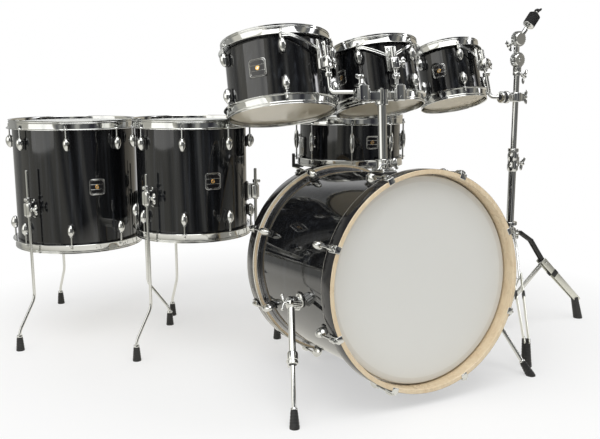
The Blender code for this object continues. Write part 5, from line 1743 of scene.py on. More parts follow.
@dataclass
class FloorLegs:
    """Dresses a floor tom's clamps and its three legs."""

    drum: Drum
    angles: tuple[float, float, float]
    foot_reach: float
    clamp_height: float
    top: float = 0.575
    out: float = 0.03
    bend_height: float = 0.155
    radius: float = 0.0048
    block: tuple[float, float, float] = (0.042, 0.028, 0.05)

    def build(self) -> None:
        """Builds the clamps as one piece and each leg as its own."""
        self.clamps()
        for number, angle in enumerate(self.angles, 1):
            self.leg(number, radians(angle))

    def clamps(self) -> None:
        """The cast clamps on their flanges, with T screws."""
        shape = Shape()
        depth, width, height = self.block
        for degrees in self.angles:
            spot = drum_spot(self.drum, degrees, 0, self.clamp_height - self.drum.middle[2])
            flange = centred_box(Vector((width * 1.22, height * 1.24, 0.0035)), 0.0014)
            ops.subdivide_edges(flange, edges=[e for e in flange.edges if e.calc_length() > width * 0.9],
                cuts=6, use_grid_fill=True)
            drum_turn = spot @ move(-self.drum.radius, 0, 0)
            shape.add(bend_round(flange, self.drum.radius + 0.0016), drum_turn, 1)
            shape.box((0.002, -width * 0.36, -height * 0.5), (0.022, width * 0.36, height * 0.5), 0.0045,
                spot, segments=4)
            shape.box((0.016, -width / 2, -height * 0.46), (depth, width / 2, height * 0.46), 0.0068,
                spot, segments=5)
            at_rod = spot @ move(self.out, 0, 0)
            for side in (-1, 1):
                ends = sorted((side * height * 0.44, side * (height * 0.5 + 0.001)))
                shape.add(collar(self.radius + 0.0003, 0.0088, *ends), at_rod)
            shape.box((depth - 0.003, -0.0007, -height * 0.4), (depth + 0.0002, 0.0007, height * 0.4),
                0.0003, spot, 1)
            turn = spot.to_3x3()
            seat = spot @ Vector((self.out, width / 2 - 0.001, 0))
            shape.add(collar(0, 0.0076, -0.001, 0.0038), aim(seat, turn @ Vector((0, 1, 0))))
            wing(shape, seat, turn @ Vector((0, 1, 0)), turn @ UP, 0.02)
            for end in (-1, 1):
                bolt = spot @ Vector((0.0045, 0, end * height * 0.56))
                rivet(shape, bolt, turn @ Vector((1, 0, 0)), 0.003, 0.003)
        publish(f"{self.drum.name}_leg_clamps", shape, (CHROME, RUBBER), self.drum.body)

    def leg(self, number: int, angle: float) -> None:
        """One leg: bent rod, stop ring, domed end and rubber foot.

        Args:
            number: the leg's number.
            angle: its angle round the drum, in radians.
        """
        shape = Shape()
        x, y, _ = self.drum.middle
        centre = kit(x, y, 0)
        out = self.drum.radius + self.out
        top = centre + polar(out, angle, self.top)
        bend = centre + polar(out, angle, self.bend_height)
        foot = centre + polar(self.foot_reach, angle)
        neck = foot + UP * FOOT_LENGTH
        ankle = neck + UP * 0.014
        route = rounded_route([top, bend, ankle, neck - UP * 0.02], 0.018, 8)
        shape.add(sweep(route, self.radius, 18))
        shape.add(pebble(Vector((self.radius, self.radius, 0.0022)), 18), move_to(top))
        lock = centre + polar(out, angle, self.clamp_height + self.block[2] / 2 + 0.008)
        memory_lock(shape, move_to(lock) @ spin_z(angle), self.radius)
        shape.add(lathe([(self.radius, -0.004), (0.0086, -0.004), (0.0092, -0.003), (0.0092, 0.001),
            (self.radius, 0.001)], 28), aim(neck, -UP))
        rubber_foot(shape, neck, foot)
        publish(f"{self.drum.name}_bent_leg_{number}", shape, (CHROME, RUBBER),
            f"{self.drum.name}_leg_{number}", [f"{self.drum.name}_leg_{number}"])


@dataclass
class SnareFittings:
    """Dresses the snare's tube lugs, strainer, lever, butt plate and wires."""

    strainer: float = -5.5
    box: tuple[float, float, float] = (0.02, 0.03, 0.066)
    foot: float = 0.024
    lever_length: float = 0.056
    wires: tuple[float, float] = (0.33, 0.04)
    wire_count: int = 20

    def build(self) -> None:
        """Builds every fitting."""
        self.tube_lugs()
        self.housing()
        self.lever()
        self.wire_band()

    def tube_lugs(self) -> None:
        """Slim tube lugs, each on two posts."""
        shape = Shape()
        for angle in SNARE.lug_angles:
            spot = SNARE.place @ spin_z(angle) @ move(SNARE.radius + ROD_OUT, 0, 0)
            shape.add(lathe([(0, -0.0315)] + [(0.0042 + 0.0048 * (1 - abs(i / 9) ** 2.2) ** 0.8,
                0.0315 * i / 9) for i in range(-9, 10)] + [(0, 0.0315)], 24), spot)
            shape.add(collar(0.0082, 0.0098, -0.0022, 0.0022), spot)
            for height in (-0.0135, 0.0135):
                foot = spot @ move(-ROD_OUT, 0, height)
                shape.add(lathe([(0, 0), (0.0062, 0), (0.0062, 0.0015), (0.004, 0.004), (0.004, ROD_OUT),
                    (0, ROD_OUT)], 20), foot @ OUTWARD)
        publish("snare_tube_lugs", shape, (CHROME,), "snare")

    def housing(self) -> None:
        """The strainer's housing with its tension knob, and the butt plate."""
        shape = Shape()
        depth, width, height = self.box
        low = self.foot - SNARE.half
        spot = drum_spot(SNARE, self.strainer)
        back = drum_spot(SNARE, self.strainer + 180)
        for place, reach in ((spot, depth), (back, 0.014)):
            shape.box((-0.0015, -width * 0.56, low - 0.001), (0.002, width * 0.56, low + height), 0.0014,
                place, 1)
            shape.box((0.0015, -width * 0.5, low), (reach * 0.72, width * 0.5, low + height * 0.97),
                0.0035, place, segments=4)
            shape.box((0.004, -width * 0.3, low + 0.003), (reach, width * 0.3, low + height * 0.8), 0.003,
                place, segments=4)
            for end in (0.08, 0.9):
                outward = facing(place, 1, 0, 0)
                seat = place @ Vector((reach * 0.72, 0, low + height * end))
                rivet(shape, seat, outward, 0.003, 0.0034)
            knob = place @ move(reach * 0.55, 0, low - 0.0085)
            shape.add(gear(0.0072, 0.008, 14), knob)
        publish("snare_strainer", shape, (CHROME, RUBBER), "snare")

    def lever(self) -> None:
        """The throw lever on its barrel."""
        shape = Shape()
        depth, height = self.box[0], self.foot + 0.012 - SNARE.half
        spot = drum_spot(SNARE, self.strainer, depth + 0.0058, height)
        side = facing(spot, 0, 1, 0)
        rivet(shape, spot.translation, side, 0.0068, 0.0054)
        blade = soft_box(Vector((-0.0016, -0.006, 0)), Vector((0.0016, 0.006, 1)), 0.0012)
        ops.scale(blade, vec=(1, 1, self.lever_length), verts=blade.verts)
        shape.add(blade, spot)
        shape.add(pebble(Vector((0.0024, 0.0064, 0.0095)), 20),
            spot @ move(0.0006, 0, self.lever_length - 0.0095))
        shape.add(collar(0, 0.0055, -0.006, 0.006), aim(spot.translation, side))
        publish("snare_throw_lever", shape, (CHROME,), "snare_lever", ["snare_strainer_lever"])

    def wire_band(self) -> None:
        """Coiled wires between two end plates, under the bottom head."""
        shape = Shape()
        length, width = self.wires
        top = -SNARE.half - 0.0013
        place = SNARE.place @ spin_z(radians(self.strainer))
        half = length / 2 - 0.01
        ridges = 96
        step = 2 * half / ridges
        outline = [(0, -half)]
        for i in range(ridges):
            start = -half + i * step
            outline += [(0.0007, start + step * 0.2), (0.0011, start + step * 0.6)]
        outline.append((0, half))
        for i in range(self.wire_count):
            shift = width * (i / (self.wire_count - 1) - 0.5) * 0.9
            coil = lathe(outline, 6)
            shape.add(coil, place @ move(0, shift, top - 0.0014) @ OUTWARD)
        for sign in (-1, 1):
            plate = centred_box(Vector((0.02, width, 0.0018)), 0.0008)
            shape.add(plate, place @ move(sign * (length / 2 - 0.01), 0, top - 0.0014))
        publish("snare_coil_wires", shape, (STEEL,), "snare", ["snare_wires"])


def boot(shape: Shape, top: Vector, foot: Vector, radius: float) -> Shape:
    """Adds a long ribbed rubber boot of a stand's leg, cut flat by the floor.

    Args:
        shape: the shape that takes it in.
        top: where the boot starts.
        foot: where it stands.
        radius: its largest radius.

    Returns:
        The shape.
    """
    length = (foot - top).length + radius
    outline = [(0, 0), (radius * 0.72, 0), (radius * 0.8, 0.002)]
    for i in range(9):
        start = 0.005 + i * (length - 0.026) / 9
        swell = radius * (0.78 + 0.18 * (i + 1) / 9)
        outline += [(swell - 0.0009, start), (swell, start + 0.001), (swell, start + 0.004)]
    outline += [(radius * 0.98, length - 0.018), (radius * 0.98, length - 0.008), (radius * 0.8, length),
        (0, length)]
    solid = lathe(outline, 28)
    ops.transform(solid, matrix=aim(top, foot - top), verts=solid.verts)
    return shape.add(floor_cut(solid), None, 1)


@dataclass
class Tripod:
    """The legs of a stand: strips from its hub to rubber boots, and their braces."""

    hub: Vector
    reach: float
    angles: tuple[float, float, float]
    spread: float
    brace_height: float
    boot_length: float = 0.07
    boot_radius: float = 0.0125
    brace_joins: float = 0.55
    knees: tuple[tuple[float, float], ...] = ()
    ankle: tuple[float, float] | None = None
    brace_width: float = 0.0095

    def dress(self, shape: Shape) -> None:
        """Adds all three legs to a shape.

        Args:
            shape: the shape; its second material is rubber.
        """
        ground = Vector((self.hub.x, self.hub.y, 0))
        for degrees in self.angles:
            angle = radians(degrees)
            across = polar(1, angle + pi / 2)
            foot = ground + polar(self.reach, angle)
            top = self.hub + polar(0.024, angle, -0.003)
            boot_top = foot - (foot - top).normalized() * self.boot_length
            knees = [ground + polar(reach, angle, height) for reach, height in self.knees]
            if self.ankle:
                boot_top = ground + polar(self.ankle[0], angle, self.ankle[1])
            joint = knees[-1] if knees else top.lerp(boot_top, self.brace_joins)
            upper = [top] + knees
            # Painted shade: the first leg's upper strips take the second material, black rubber, though they are
            # chrome like the other legs.
            dark = 1 if degrees == self.angles[0] else 0
            for sign in ((-1, 1) if self.spread else (0,)):
                shift = across * sign * self.spread
                for start, end in zip(upper, upper[1:]):
                    run = (end - start).normalized() * 0.004
                    strip(shape, start + shift * 0.5 - run, end + shift * 0.5 + run, across, 0.006,
                        0.0125, dark)
                run = (boot_top - upper[-1]).normalized()
                width = 0.0225 if knees else 0.013
                strip(shape, upper[-1] + shift - run * 0.016, boot_top + shift * 0.5 + run * 0.02, across,
                    0.0036, width, 2 if knees else 0)
                if knees:
                    band = upper[-1] + run * 0.052
                    strip(shape, band + shift * 0.9, band + shift * 0.9 + run * 0.022, across, 0.006,
                        width + 0.0016, 1)
            brace = ground + polar(0.018, angle, self.brace_height)
            for sign in (-1, 1):
                shift = across * sign * 0.0045
                strip(shape, brace + shift, joint + shift, across, 0.0024, self.brace_width)
            reach = self.spread * 0.75 + 0.008
            rivet(shape, joint, across, reach, 0.0042)
            rivet(shape, brace, across, 0.01, 0.004)
            rivet(shape, top, across, self.spread + 0.0055, 0.0048)
            shape.box((0.008, -0.0075, -0.012), (0.03, 0.0075, 0.008), 0.003,
                move_to(self.hub) @ spin_z(angle))
            foot_hub = move_to(ground + UP * self.brace_height)
            shape.box((0.006, -0.0032, -0.006), (0.023, 0.0032, 0.006), 0.002, foot_hub @ spin_z(angle))
            boot(shape, boot_top, foot, self.boot_radius)


@dataclass
class SnareStand:
    """Dresses the snare's stand: tripod with its tube, and the basket."""

    tube_top: float = 0.4
    hub: float = 0.23
    leg_reach: float = 0.21
    angles: tuple[float, float, float] = (155.0, 275.0, 35.0)
    basket_hub: float = 0.49
    inner_radius: float = 0.0095
    grip_width: float = 0.022

    def build(self) -> None:
        """Builds the base and the basket."""
        x, y, _ = SNARE.middle
        self.base(kit(x, y, 0))
        self.basket(kit(x, y, 0))

    def base(self, centre: Vector) -> None:
        """The tripod with its tube and collar.

        Args:
            centre: the floor under the stand's middle.
        """
        shape = Shape()
        place = move_to(centre)
        shape.add(lathe([(0.01, 0.06), (0.0115, 0.06), (0.0125, 0.061), (0.0125, self.tube_top),
            (0.01, self.tube_top)], 36), place)
        top = self.tube_top
        shape.add(lathe(mm([(10.2, -50), (15.5, -50), (18, -44), (18, -6), (16.5, -1), (10.2, 0)],
            up=top), 36), place)
        shape.add(collar(0.0098, 0.014, top - 0.002, top + 0.0012), place, 1)
        seat = centre + Vector((0.0175, 0, top - 0.025))
        wing(shape, seat, Vector((1, 0, 0)), UP, 0.022)
        for height, outer, half in ((self.hub, 0.0205, 0.018), (0.085, 0.0165, 0.009)):
            shape.add(collar(0.0125, outer, height - half, height + half, 0.003, 36), place)
        Tripod(centre + UP * self.hub, self.leg_reach, self.angles, 0.0, 0.085).dress(shape)
        publish("snare_tripod", shape, (CHROME, RUBBER), ROOT, ["snare_stand_base"])

    def basket(self, centre: Vector) -> None:
        """The basket: tube, hub, three arms and their rubber grips.

        Args:
            centre: the floor under the stand's middle.
        """
        shape = Shape()
        seat = SNARE.middle[2] - SNARE.half - RIM_STAND
        inner, wall = SNARE.radius - 0.012, SNARE.radius + FLANGE_OUT + 0.0008
        low = seat - 0.0123
        hub = centre + UP * self.basket_hub
        shape.add(rod(centre + UP * 0.2, hub, self.inner_radius, 32, 0.001))
        shape.add(lathe(mm([(0, -24), (14, -24), (21.5, -18), (21.5, -6), (20, -4), (20, 4), (21.5, 6),
            (21.5, 14), (16, 18), (0, 18)]), 36), move_to(hub))
        shape.add(gear(0.0185, 0.012, 18), move_to(hub - UP * 0.036))
        for degrees in self.angles:
            angle = radians(degrees)
            turn = move_to(centre) @ spin_z(angle)
            route = [hub + polar(0.012, angle), centre + polar(inner * 0.75, angle, low - 0.035),
                centre + polar(wall + 0.004, angle, low + 0.003)]
            shape.add(sweep(rounded_route(route, 0.04, 8), 0.0052, 18))
            rivet(shape, hub + polar(0.0165, angle), polar(1, angle + pi / 2), 0.0085, 0.0045)
            half = self.grip_width / 2
            shape.box((inner, -half, low), (wall + 0.01, half, seat - 0.0008), 0.0028, turn, 1)
            for side in (-1, 1):
                edge = side * (half - 0.0035)
                shape.box((wall, edge - 0.0033, low), (wall + 0.0108, edge + 0.0033, seat + 0.036),
                    0.0022, turn, 1)
            for height in (0.006, 0.015, 0.024, 0.0325):
                shape.box((wall + 0.001, -half + 0.003, seat + height - 0.0018),
                    (wall + 0.0088, half - 0.003, seat + height + 0.0018), 0.0012, turn, 1)
            for i in range(4):
                reach = inner + 0.005 + i * 0.008
                shape.box((reach, -half * 0.9, seat - 0.004), (reach + 0.003, half * 0.9, seat - 0.0003),
                    0.0012, turn, 1)
        publish("snare_basket", shape, (CHROME, RUBBER), "snare", ["snare_stand_basket"])


@dataclass
class CymbalStand:
    """Dresses the cymbal stand and the clamp that carries the smallest tom."""

    at: tuple[float, float] = (0.605, 0.113)
    inner_radius: float = 0.0095
    lower_hub: float = 0.102
    hub: float = 0.346
    leg_reach: float = 0.341
    leg_angles: tuple[float, float, float] = (-0.7, -120.7, 119.3)
    collar_low: float = 0.557
    collar_high: float = 0.621
    joint: float = 0.922
    tilter: float = 0.067
    disc: tuple[float, float] = (0.0246, 0.0128)
    tilt: float = radians(38)
    clamp: float = 0.802
    clamp_reach: float = 0.051

    def pole(self, height: float) -> Vector:
        """A point on the stand's pole."""
        return kit(*self.at, height)

    def build(self) -> None:
        """Builds the stand from the floor up."""
        self.base()
        self.tube()
        self.tilter_arm()
        self.seat()
        self.tom_clamp()

    def disc_at(self, height: float, back: bool) -> Matrix:
        """The frame of half a toothed joint: behind the pole, or in front of it."""
        sign = 1 if back else -1
        return aim(self.pole(height) + Vector((0, sign * 0.0002, 0)), Vector((0, sign, 0)), UP)

    def base(self) -> None:
        """Tripod, lower tube and height collar."""
        shape = Shape()
        place = move_to(self.pole(0))
        low, high = self.collar_low, self.collar_high
        shape.add(lathe([(0.0102, 0.06), (0.0115, 0.06), (0.0125, 0.061), (0.0125, low + 0.004),
            (0.0102, low + 0.004)], 40), place)
        shape.add(lathe(mm([(10.2, 0), (15, 0), (18, 6), (18, 22), (16.8, 24)], up=low)
            + mm([(16.8, -24), (18, -22), (18, -8), (16, -1), (10.2, -1)], up=high), 40), place)
        shape.add(collar(0.0098, 0.0142, high - 0.003, high), place, 1)
        middle = (low + high) / 2
        shape.box((0.01, -0.008, middle - 0.018), (0.0225, 0.008, middle + 0.018), 0.003, place)
        way = Vector((1, 0, -0.4)).normalized()
        wing(shape, self.pole(middle) + Vector((0.02, 0, 0)), way, Vector((0.4, 0, 1)), 0.029,
            spread=0.024)
        memory_lock(shape, place @ move(0, 0, self.hub + 0.034) @ spin_z(2.2), 0.0125)
        memory_lock(shape, place @ move(0, 0, high + 0.0062) @ spin_z(-2.4), self.inner_radius)
        for height, outer, half in ((self.hub, 0.0208, 0.019), (self.lower_hub, 0.0178, 0.011)):
            shape.add(lathe([(0.0125, height - half), (outer - 0.003, height - half),
                (outer, height - half + 0.003)] + mm([(0, -3), (-1, 0), (0, 3)], outer, height)
                + [(outer, height + half - 0.003), (outer - 0.003, height + half),
                (0.0125, height + half)], 40), place)
        wing(shape, self.pole(self.hub) + Vector((0, -0.0195, 0.002)), Vector((0, -1, 0)), UP, 0.022)
        shape.add(collar(0, 0.0142, 0.054, 0.062, 0.002), place, 1)
        Tripod(self.pole(self.hub), self.leg_reach, self.leg_angles, 0.013, self.lower_hub,
            boot_radius=0.0162, knees=((0.044, 0.345), (0.095, 0.312), (0.158, 0.228)),
            ankle=(0.318, 0.08), brace_width=0.012).dress(shape)
        publish("cymbal_tripod", shape, (CHROME, RUBBER, SATIN), ROOT, ["cymbal_stand_base"])

    def tube(self) -> None:
        """The middle tube with its fork and the front half of the lower joint."""
        shape = Shape()
        radius, thickness = self.disc
        top = self.joint - 0.02
        shape.add(rod(self.pole(0.45), self.pole(top), self.inner_radius, 36, 0.001))
        place = move_to(self.pole(0))
        shape.add(lathe(mm([(9.5, -30), (12.5, -30), (13.4, -28), (13.4, -20), (12.4, -18.5), (13.4, -17),
            (13.4, -4), (10, -1), (0, -1)], up=top), 36), place)
        shape.box((-0.009, -thickness, top - 0.004), (0.009, -0.0004, top + 0.02), 0.002, place)
        front = self.disc_at(self.joint, False)
        shape.add(gear(radius, thickness * 0.62, 24), front)
        shape.add(collar(0, radius * 0.82, thickness * 0.4, thickness, 0.0022), front)
        shape.add(collar(0, 0.0062, thickness * 0.8, thickness + 0.0015), front)
        way = Vector((1, 0, -0.55)).normalized()
        wing(shape, self.pole(top - 0.015) + way * 0.012, way, Vector((0.5, 0.2, 1)), 0.031, spread=0.027)
        publish("cymbal_middle_tube", shape, (CHROME,), "cymbal_tube", ["cymbal_stand_tube"])

    def tilter_arm(self) -> None:
        """The tilter between both toothed joints, with its wing screw."""
        shape = Shape()
        radius, thickness = self.disc
        upper = self.joint + self.tilter
        for height in (self.joint, upper):
            back = self.disc_at(height, True)
            shape.add(gear(radius, thickness * 0.62, 24), back)
            shape.add(collar(0, radius * 0.82, thickness * 0.4, thickness, 0.0022), back)
            hexagon = lathe([(0, thickness * 0.9), (0.0055, thickness * 0.9), (0.0055, thickness + 0.003),
                (0, thickness + 0.003)], 6)
            shape.add(hexagon, back)
        place = move_to(self.pole(0))
        shape.box((-0.0085, 0.0006, self.joint), (0.0085, thickness - 0.0004, upper), 0.0026, place,
            segments=4)
        shape.box((-0.005, thickness * 0.5, self.joint + 0.012),
            (0.005, thickness + 0.001, upper - 0.012), 0.0018, place)
        way = Vector((-1, 0, -0.45)).normalized()
        seat = self.pole(upper - 0.014) + Vector((-0.016, thickness / 2, 0))
        shape.add(collar(0, 0.0048, -0.006, 0.008), aim(seat, way))
        wing(shape, seat + way * 0.004, way, Vector((-0.3, 0.4, 1)), 0.02, spread=0.02)
        publish("cymbal_toothed_tilter", shape, (CHROME,), "cymbal_tilter", ["cymbal_tilter"])

    def seat(self) -> None:
        """The seat rod with sleeve, cup, felts and wing nut."""
        shape = Shape()
        radius, thickness = self.disc
        upper = self.joint + self.tilter
        front = self.disc_at(upper, False)
        shape.add(gear(radius, thickness * 0.62, 24), front, 1)
        shape.add(collar(0, radius * 0.82, thickness * 0.4, thickness, 0.0022), front, 1)
        way = Vector((sin(self.tilt), 0, cos(self.tilt)))
        start = self.pole(upper) + Vector((0, -0.0055, 0))
        place = aim(start, way, Vector((0, 1, 0)))
        threads = [(0, 0.0), (0.0042, 0.0), (0.0042, 0.08)]
        for i in range(18):
            threads += [(0.0042, 0.08 + i * 0.0018), (0.0036, 0.0809 + i * 0.0018)]
        shape.add(lathe(threads + [(0.0036, 0.113), (0, 0.113)], 20), place, 1)
        shape.add(lathe(mm([(4.2, 20), (6.6, 20), (7.5, 22), (7.5, 41), (6.6, 43), (4.2, 43)]), 28),
            place, 1)
        shape.add(lathe(mm([(4.2, 48), (11, 50), (18.5, 54.5), (19.2, 56), (18, 57.5), (10, 56),
            (4.2, 56)]), 36), place, 1)
        stack = [(0.0043, 0.0575), (0.015, 0.0575)]
        for i in range(7):
            low = 0.058 + i * 0.0057
            stack += [(0.0176, low), (0.0196, low + 0.0012), (0.0196, low + 0.0036),
                (0.0176, low + 0.0048)]
        shape.add(lathe(stack + [(0.014, 0.0985), (0.0043, 0.0985)], 40), place)
        shape.add(lathe(mm([(4.3, 98), (13.5, 98), (15, 100), (12, 103), (7.5, 105.5), (4.3, 105.5)]),
            36), place, 1)
        turn = place.to_3x3()
        wing(shape, place @ Vector((0, 0, 0.1045)), way, turn @ Vector((1, 0, 0)), 0.016, spread=0.0165)
        publish("cymbal_felt_seat", shape, (FELT, CHROME), "cymbal_seat", ["cymbal_seat"])

    def tom_clamp(self) -> None:
        """The clamp on the pole, its ball socket and the smallest tom's rod."""
        shape = Shape()
        centre = self.pole(self.clamp)
        socket = centre - Vector((self.clamp_reach, 0, 0))
        place = move_to(centre)
        shape.add(lathe(mm([(10, -15), (15, -15), (16.5, -13), (16.5, 13), (15, 15), (10, 15)]), 36),
            place)
        for side in (-1, 1):
            ends = sorted((side * 0.002, side * 0.0145))
            shape.box((-0.02, ends[0], -0.0135), (0.024, ends[1], 0.0135), 0.003, place, segments=4)
        shape.box((-0.046, -0.0085, -0.011), (-0.01, 0.0085, 0.011), 0.0035, place, segments=4)
        toothed = aim(centre + Vector((-0.024, 0, 0)), Vector((-1, 0, 0)))
        shape.add(gear(0.015, 0.006, 20), toothed)
        grip = aim(socket + Vector((0.012, 0, 0)), Vector((-1, 0, 0)), UP)
        shape.add(lathe(mm([(10, -3), (18, -3), (20, -1), (20, 6), (18.5, 8), (13.5, 9)]), 36), grip)
        shape.add(pebble(Vector((0.0178, 0.0178, 0.0178)), 32), move_to(socket), 1)
        shape.add(lathe(mm([(12, 18.5), (17.8, 18.5), (18.8, 19.8), (18.8, 25), (17.2, 26.8), (8, 26.8),
            (8, 25), (12, 24)]), 36), grip)
        stack = aim(centre + Vector((0.018, 0, 0)), Vector((1, 0, 0)), UP)
        for i in range(4):
            shape.add(collar(0, 0.0098, i * 0.003, i * 0.003 + 0.0024), stack)
        wing(shape, centre + Vector((0.028, 0, 0)), Vector((1, 0, 0)), UP, 0.018, spread=0.024)
        route = arm_route(TOM8, socket)
        shape.add(sweep(route, ARM_RADIUS, 18))
        way = (route[1] - route[0]).normalized()
        shape.add(collar(ARM_RADIUS, 0.008, 0.0135, 0.0205), aim(socket, way))
        finish_rod(shape, TOM8)
        publish("small_tom_clamp", shape, (CHROME, NYLON), "tom8_clamp", ["tom8_clamp"])


@dataclass
class Studio:
    """Camera, floor, lamps and the room that the chrome mirrors."""

    camera_at: tuple[float, float, float] = (-1.1865, -1.8642, 0.8512)
    yaw: float = 26.71
    pitch: float = 10.09
    roll: float = -0.11
    lens: float = 46.25
    floor_reach: float = 40.0

    def build(self) -> None:
        """Sets up the whole studio."""
        self.camera()
        self.floor()
        self.lamps()
        self.room()
        bpy.context.scene.view_settings.view_transform = "Standard"

    def camera(self) -> None:
        """The camera at the photograph's place."""
        data = bpy.data.cameras.new("camera")
        data.lens = self.lens
        data.sensor_width = 36.0
        data.sensor_fit = "HORIZONTAL"
        data.clip_end = 200.0
        made = bpy.data.objects.new("camera", data)
        bpy.context.scene.collection.objects.link(made)
        look = Matrix.Rotation(radians(90 - self.pitch), 4, "X")
        turn = spin_z(-radians(self.yaw)) @ look @ spin_z(radians(self.roll))
        made.matrix_world = move_to(kit(*self.camera_at)) @ turn
        bpy.context.scene.camera = made

    def floor(self) -> None:
        """A pale floor that fades into the white backdrop."""
        plane = bmesh.new()
        ops.create_grid(plane, x_segments=1, y_segments=1, size=self.floor_reach)
        mesh = bpy.data.meshes.new("floor")
        plane.to_mesh(mesh)
        plane.free()
        made = bpy.data.objects.new("floor", mesh)
        bpy.context.scene.collection.objects.link(made)
        material = bpy.data.materials.new("studio_floor")
        material.use_nodes = True
        nodes = Nodes(material.node_tree)
        shader = material.node_tree.nodes["Principled BSDF"]
        shader.inputs["Base Color"].default_value = (0.86, 0.86, 0.86, 1)
        shader.inputs["Roughness"].default_value = 0.9
        shader.inputs["Specular IOR Level"].default_value = 0.1
        place = nodes.add("TexCoord").outputs["Object"]
        reach = nodes.add("VectorMath", {0: place}, operation="LENGTH").outputs["Value"]
        ray = nodes.add("LightPath")
        white = nodes.remap(reach, (0.8, 1.45), (0.5, 1.0))
        mirrored = nodes.remap(reach, (1.25, 2.2), (0.0, 1.0))
        lit = nodes.remap(mirrored, (0.0, 1.0), (0.65, 1.0))
        share = nodes.math("ADD", nodes.math("MULTIPLY", white, ray.outputs["Is Camera Ray"]),
            nodes.math("MULTIPLY", lit, ray.outputs["Is Glossy Ray"]))
        parts = nodes.add("SeparateXYZ", {0: place})
        heading = nodes.math("ARCTAN2", parts.outputs["X"], parts.outputs["Y"])
        room = nodes.blend(mirrored, (1.15, 1.12, 1.02, 1), room_colour(nodes, heading,
            parts.outputs["Z"]))
        colour = nodes.blend(ray.outputs["Is Camera Ray"], room, (1, 1, 1, 1))
        glow = nodes.add("Emission", {"Color": colour, "Strength": 1.0})
        mix = nodes.add("MixShader", {0: share, 1: shader.outputs[0], 2: glow.outputs[0]})
        out = material.node_tree.nodes["Material Output"]
        nodes.link(mix.outputs[0], out, "Surface")
        mesh.materials.append(material)

    @staticmethod
    def lamp(name: str, at: Vector, to: Vector, size: tuple[float, float], power: float) -> None:
        """Adds one soft rectangular lamp.

        Args:
            name: its name.
            at: where it hangs.
            to: where it points.
            size: its width and height.
            power: its power in watts.
        """
        data = bpy.data.lights.new(name, "AREA")
        data.shape = "RECTANGLE"
        data.size, data.size_y = size
        data.energy = power
        made = bpy.data.objects.new(name, data)
        bpy.context.scene.collection.objects.link(made)
        made.matrix_world = move_to(at) @ (to - at).to_track_quat("-Z", "Y").to_matrix().to_4x4()

    def lamps(self) -> None:
        """A wide lamp overhead, a tall one at the left and a strip at the right."""
        middle = Vector((0, 0, 0.5))
        self.lamp("overhead", Vector((-0.5, -1.4, 3.2)), middle, (3.2, 2.4), 62)
        self.lamp("left_tall", Vector((-4.2, -0.9, 1.9)), middle, (3.6, 3.4), 40)
        self.lamp("right_strip", Vector((3.9, -2.0, 2.2)), middle, (0.45, 1.9), 12)

    def room(self) -> None:
        """The world: white for the camera, an even light, and panels that the gloss mirrors."""
        world = bpy.data.worlds.new("studio_room")
        bpy.context.scene.world = world
        world.use_nodes = True
        nodes = Nodes(world.node_tree)
        back = world.node_tree.nodes["Background"]
        way = nodes.add("TexCoord").outputs["Generated"]
        parts = nodes.add("SeparateXYZ", {0: way})
        heading = nodes.math("ARCTAN2", parts.outputs["X"], parts.outputs["Y"])
        rise = parts.outputs["Z"]
        colour = room_colour(nodes, heading, rise)
        ray = nodes.add("LightPath")
        gloss = nodes.math("MAXIMUM", ray.outputs["Is Glossy Ray"], ray.outputs["Is Transmission Ray"])
        even = nodes.blend(gloss, (0.56, 0.56, 0.55, 1), colour)
        seen = nodes.blend(ray.outputs["Is Camera Ray"], even, (1, 1, 1, 1))
        nodes.link(seen, back, "Color")
        back.inputs["Strength"].default_value = 1.0


@dataclass(frozen=True)
class Panel:
    """A bright stretch of the room, by compass heading from +Y to +X in degrees and by rise."""

    heading: float
    half_width: float
    low: float
    high: float
    colour: tuple[float, float, float]
    softness: float = 4.0

    def mask(self, nodes: Nodes, heading: NodeSocket, rise: NodeSocket) -> NodeSocket:
        """How much of the panel a ray sees.

        Args:
            nodes: the world's nodes.
            heading: the ray's heading in radians.
            rise: the height of the ray's unit vector.

        Returns:
            The mask.
        """
        turn = nodes.math("SUBTRACT", heading, radians(self.heading))
        wrapped = nodes.math("WRAP", turn, pi)
        wrapped.node.inputs[2].default_value = -pi
        off = nodes.math("ABSOLUTE", wrapped)
        half, soft = radians(self.half_width), radians(self.softness)
        across = nodes.remap(off, (half - soft, half + soft), (1.0, 0.0))
        above = nodes.remap(rise, (self.low - 0.04, self.low + 0.04), (0.0, 1.0))
        below = nodes.remap(rise, (self.high - 0.04, self.high + 0.04), (1.0, 0.0))
        return nodes.math("MULTIPLY", across, nodes.math("MULTIPLY", above, below))


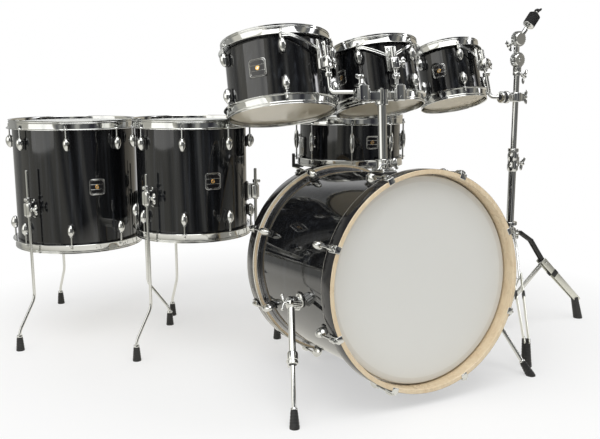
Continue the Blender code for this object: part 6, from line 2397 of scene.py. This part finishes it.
ROOM_PANELS = (
    Panel(268, 42, -1.2, 0.1, (0.56, 0.55, 0.49)),
    Panel(268, 42, 0.1, 0.72, (0.8, 0.78, 0.7)),
    Panel(64, 40, -1.2, 0.36, (0.52, 0.48, 0.4), 10.0),
    Panel(20, 16, -1.2, 0.4, (0.74, 0.74, 0.74), 8.0),
    Panel(335, 24, -1.2, 0.46, (0.4, 0.4, 0.38), 8.0),
    Panel(111, 5, 0.12, 0.85, (2.2, 2.2, 2.3), 1.5),
    Panel(186, 4, -1.2, 0.6, (0.46, 0.46, 0.43), 2.0),
    Panel(201, 5, -1.2, 0.9, (0.03, 0.03, 0.03), 2.0),
    Panel(215, 3, -1.2, 0.9, (0.34, 0.34, 0.32), 2.0),
    Panel(160, 6, -1.2, 0.7, (0.04, 0.04, 0.05), 3.0),
    Panel(133, 5, -1.2, 0.7, (0.42, 0.4, 0.35), 3.0),
    Panel(95, 6, -1.2, 0.6, (0.05, 0.05, 0.05), 3.0),
    Panel(246, 4, -1.2, 0.5, (0.35, 0.35, 0.32), 3.0),
    Panel(215, 180, 0.9, 1.2, (1.6, 1.6, 1.6)),
)
ROOM_DARK = (0.148, 0.152, 0.156)


def room_colour(nodes: Nodes, heading: NodeSocket, rise: NodeSocket) -> NodeSocket:
    """The colour that gloss mirrors in one direction.

    Args:
        nodes: the nodes of the floor or of the world.
        heading: the direction's heading in radians.
        rise: the height of its unit vector.

    Returns:
        The colour.
    """
    colour: object = (*ROOM_DARK, 1)
    for panel in ROOM_PANELS:
        colour = nodes.blend(panel.mask(nodes, heading, rise), colour, (*panel.colour, 1))
    return colour


def main() -> None:
    logging.basicConfig(level=logging.INFO, format="%(name)s %(message)s")
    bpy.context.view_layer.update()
    BassDress().build()
    for drum in (TOM12, TOM10, TOM8, FLOOR16, FLOOR14):
        DrumDress(drum).build()
    DrumDress(SNARE, rod_tip=0.03).build()
    for tom in (TOM12, TOM10, TOM8):
        TomMount(tom).build()
    Holder().build()
    TomArm(TOM12, Side.LEFT).build()
    TomArm(TOM10, Side.RIGHT).build()
    for side in Side:
        Spur(side).build()
    FloorLegs(FLOOR16, (95.5, 218.0, 331.0), 0.308, 0.45).build()
    FloorLegs(FLOOR14, (89.2, 209.2, 329.2), 0.276, 0.502).build()
    SnareFittings().build()
    SnareStand().build()
    CymbalStand().build()
    Studio().build()


if __name__ == "__main__":
    main()
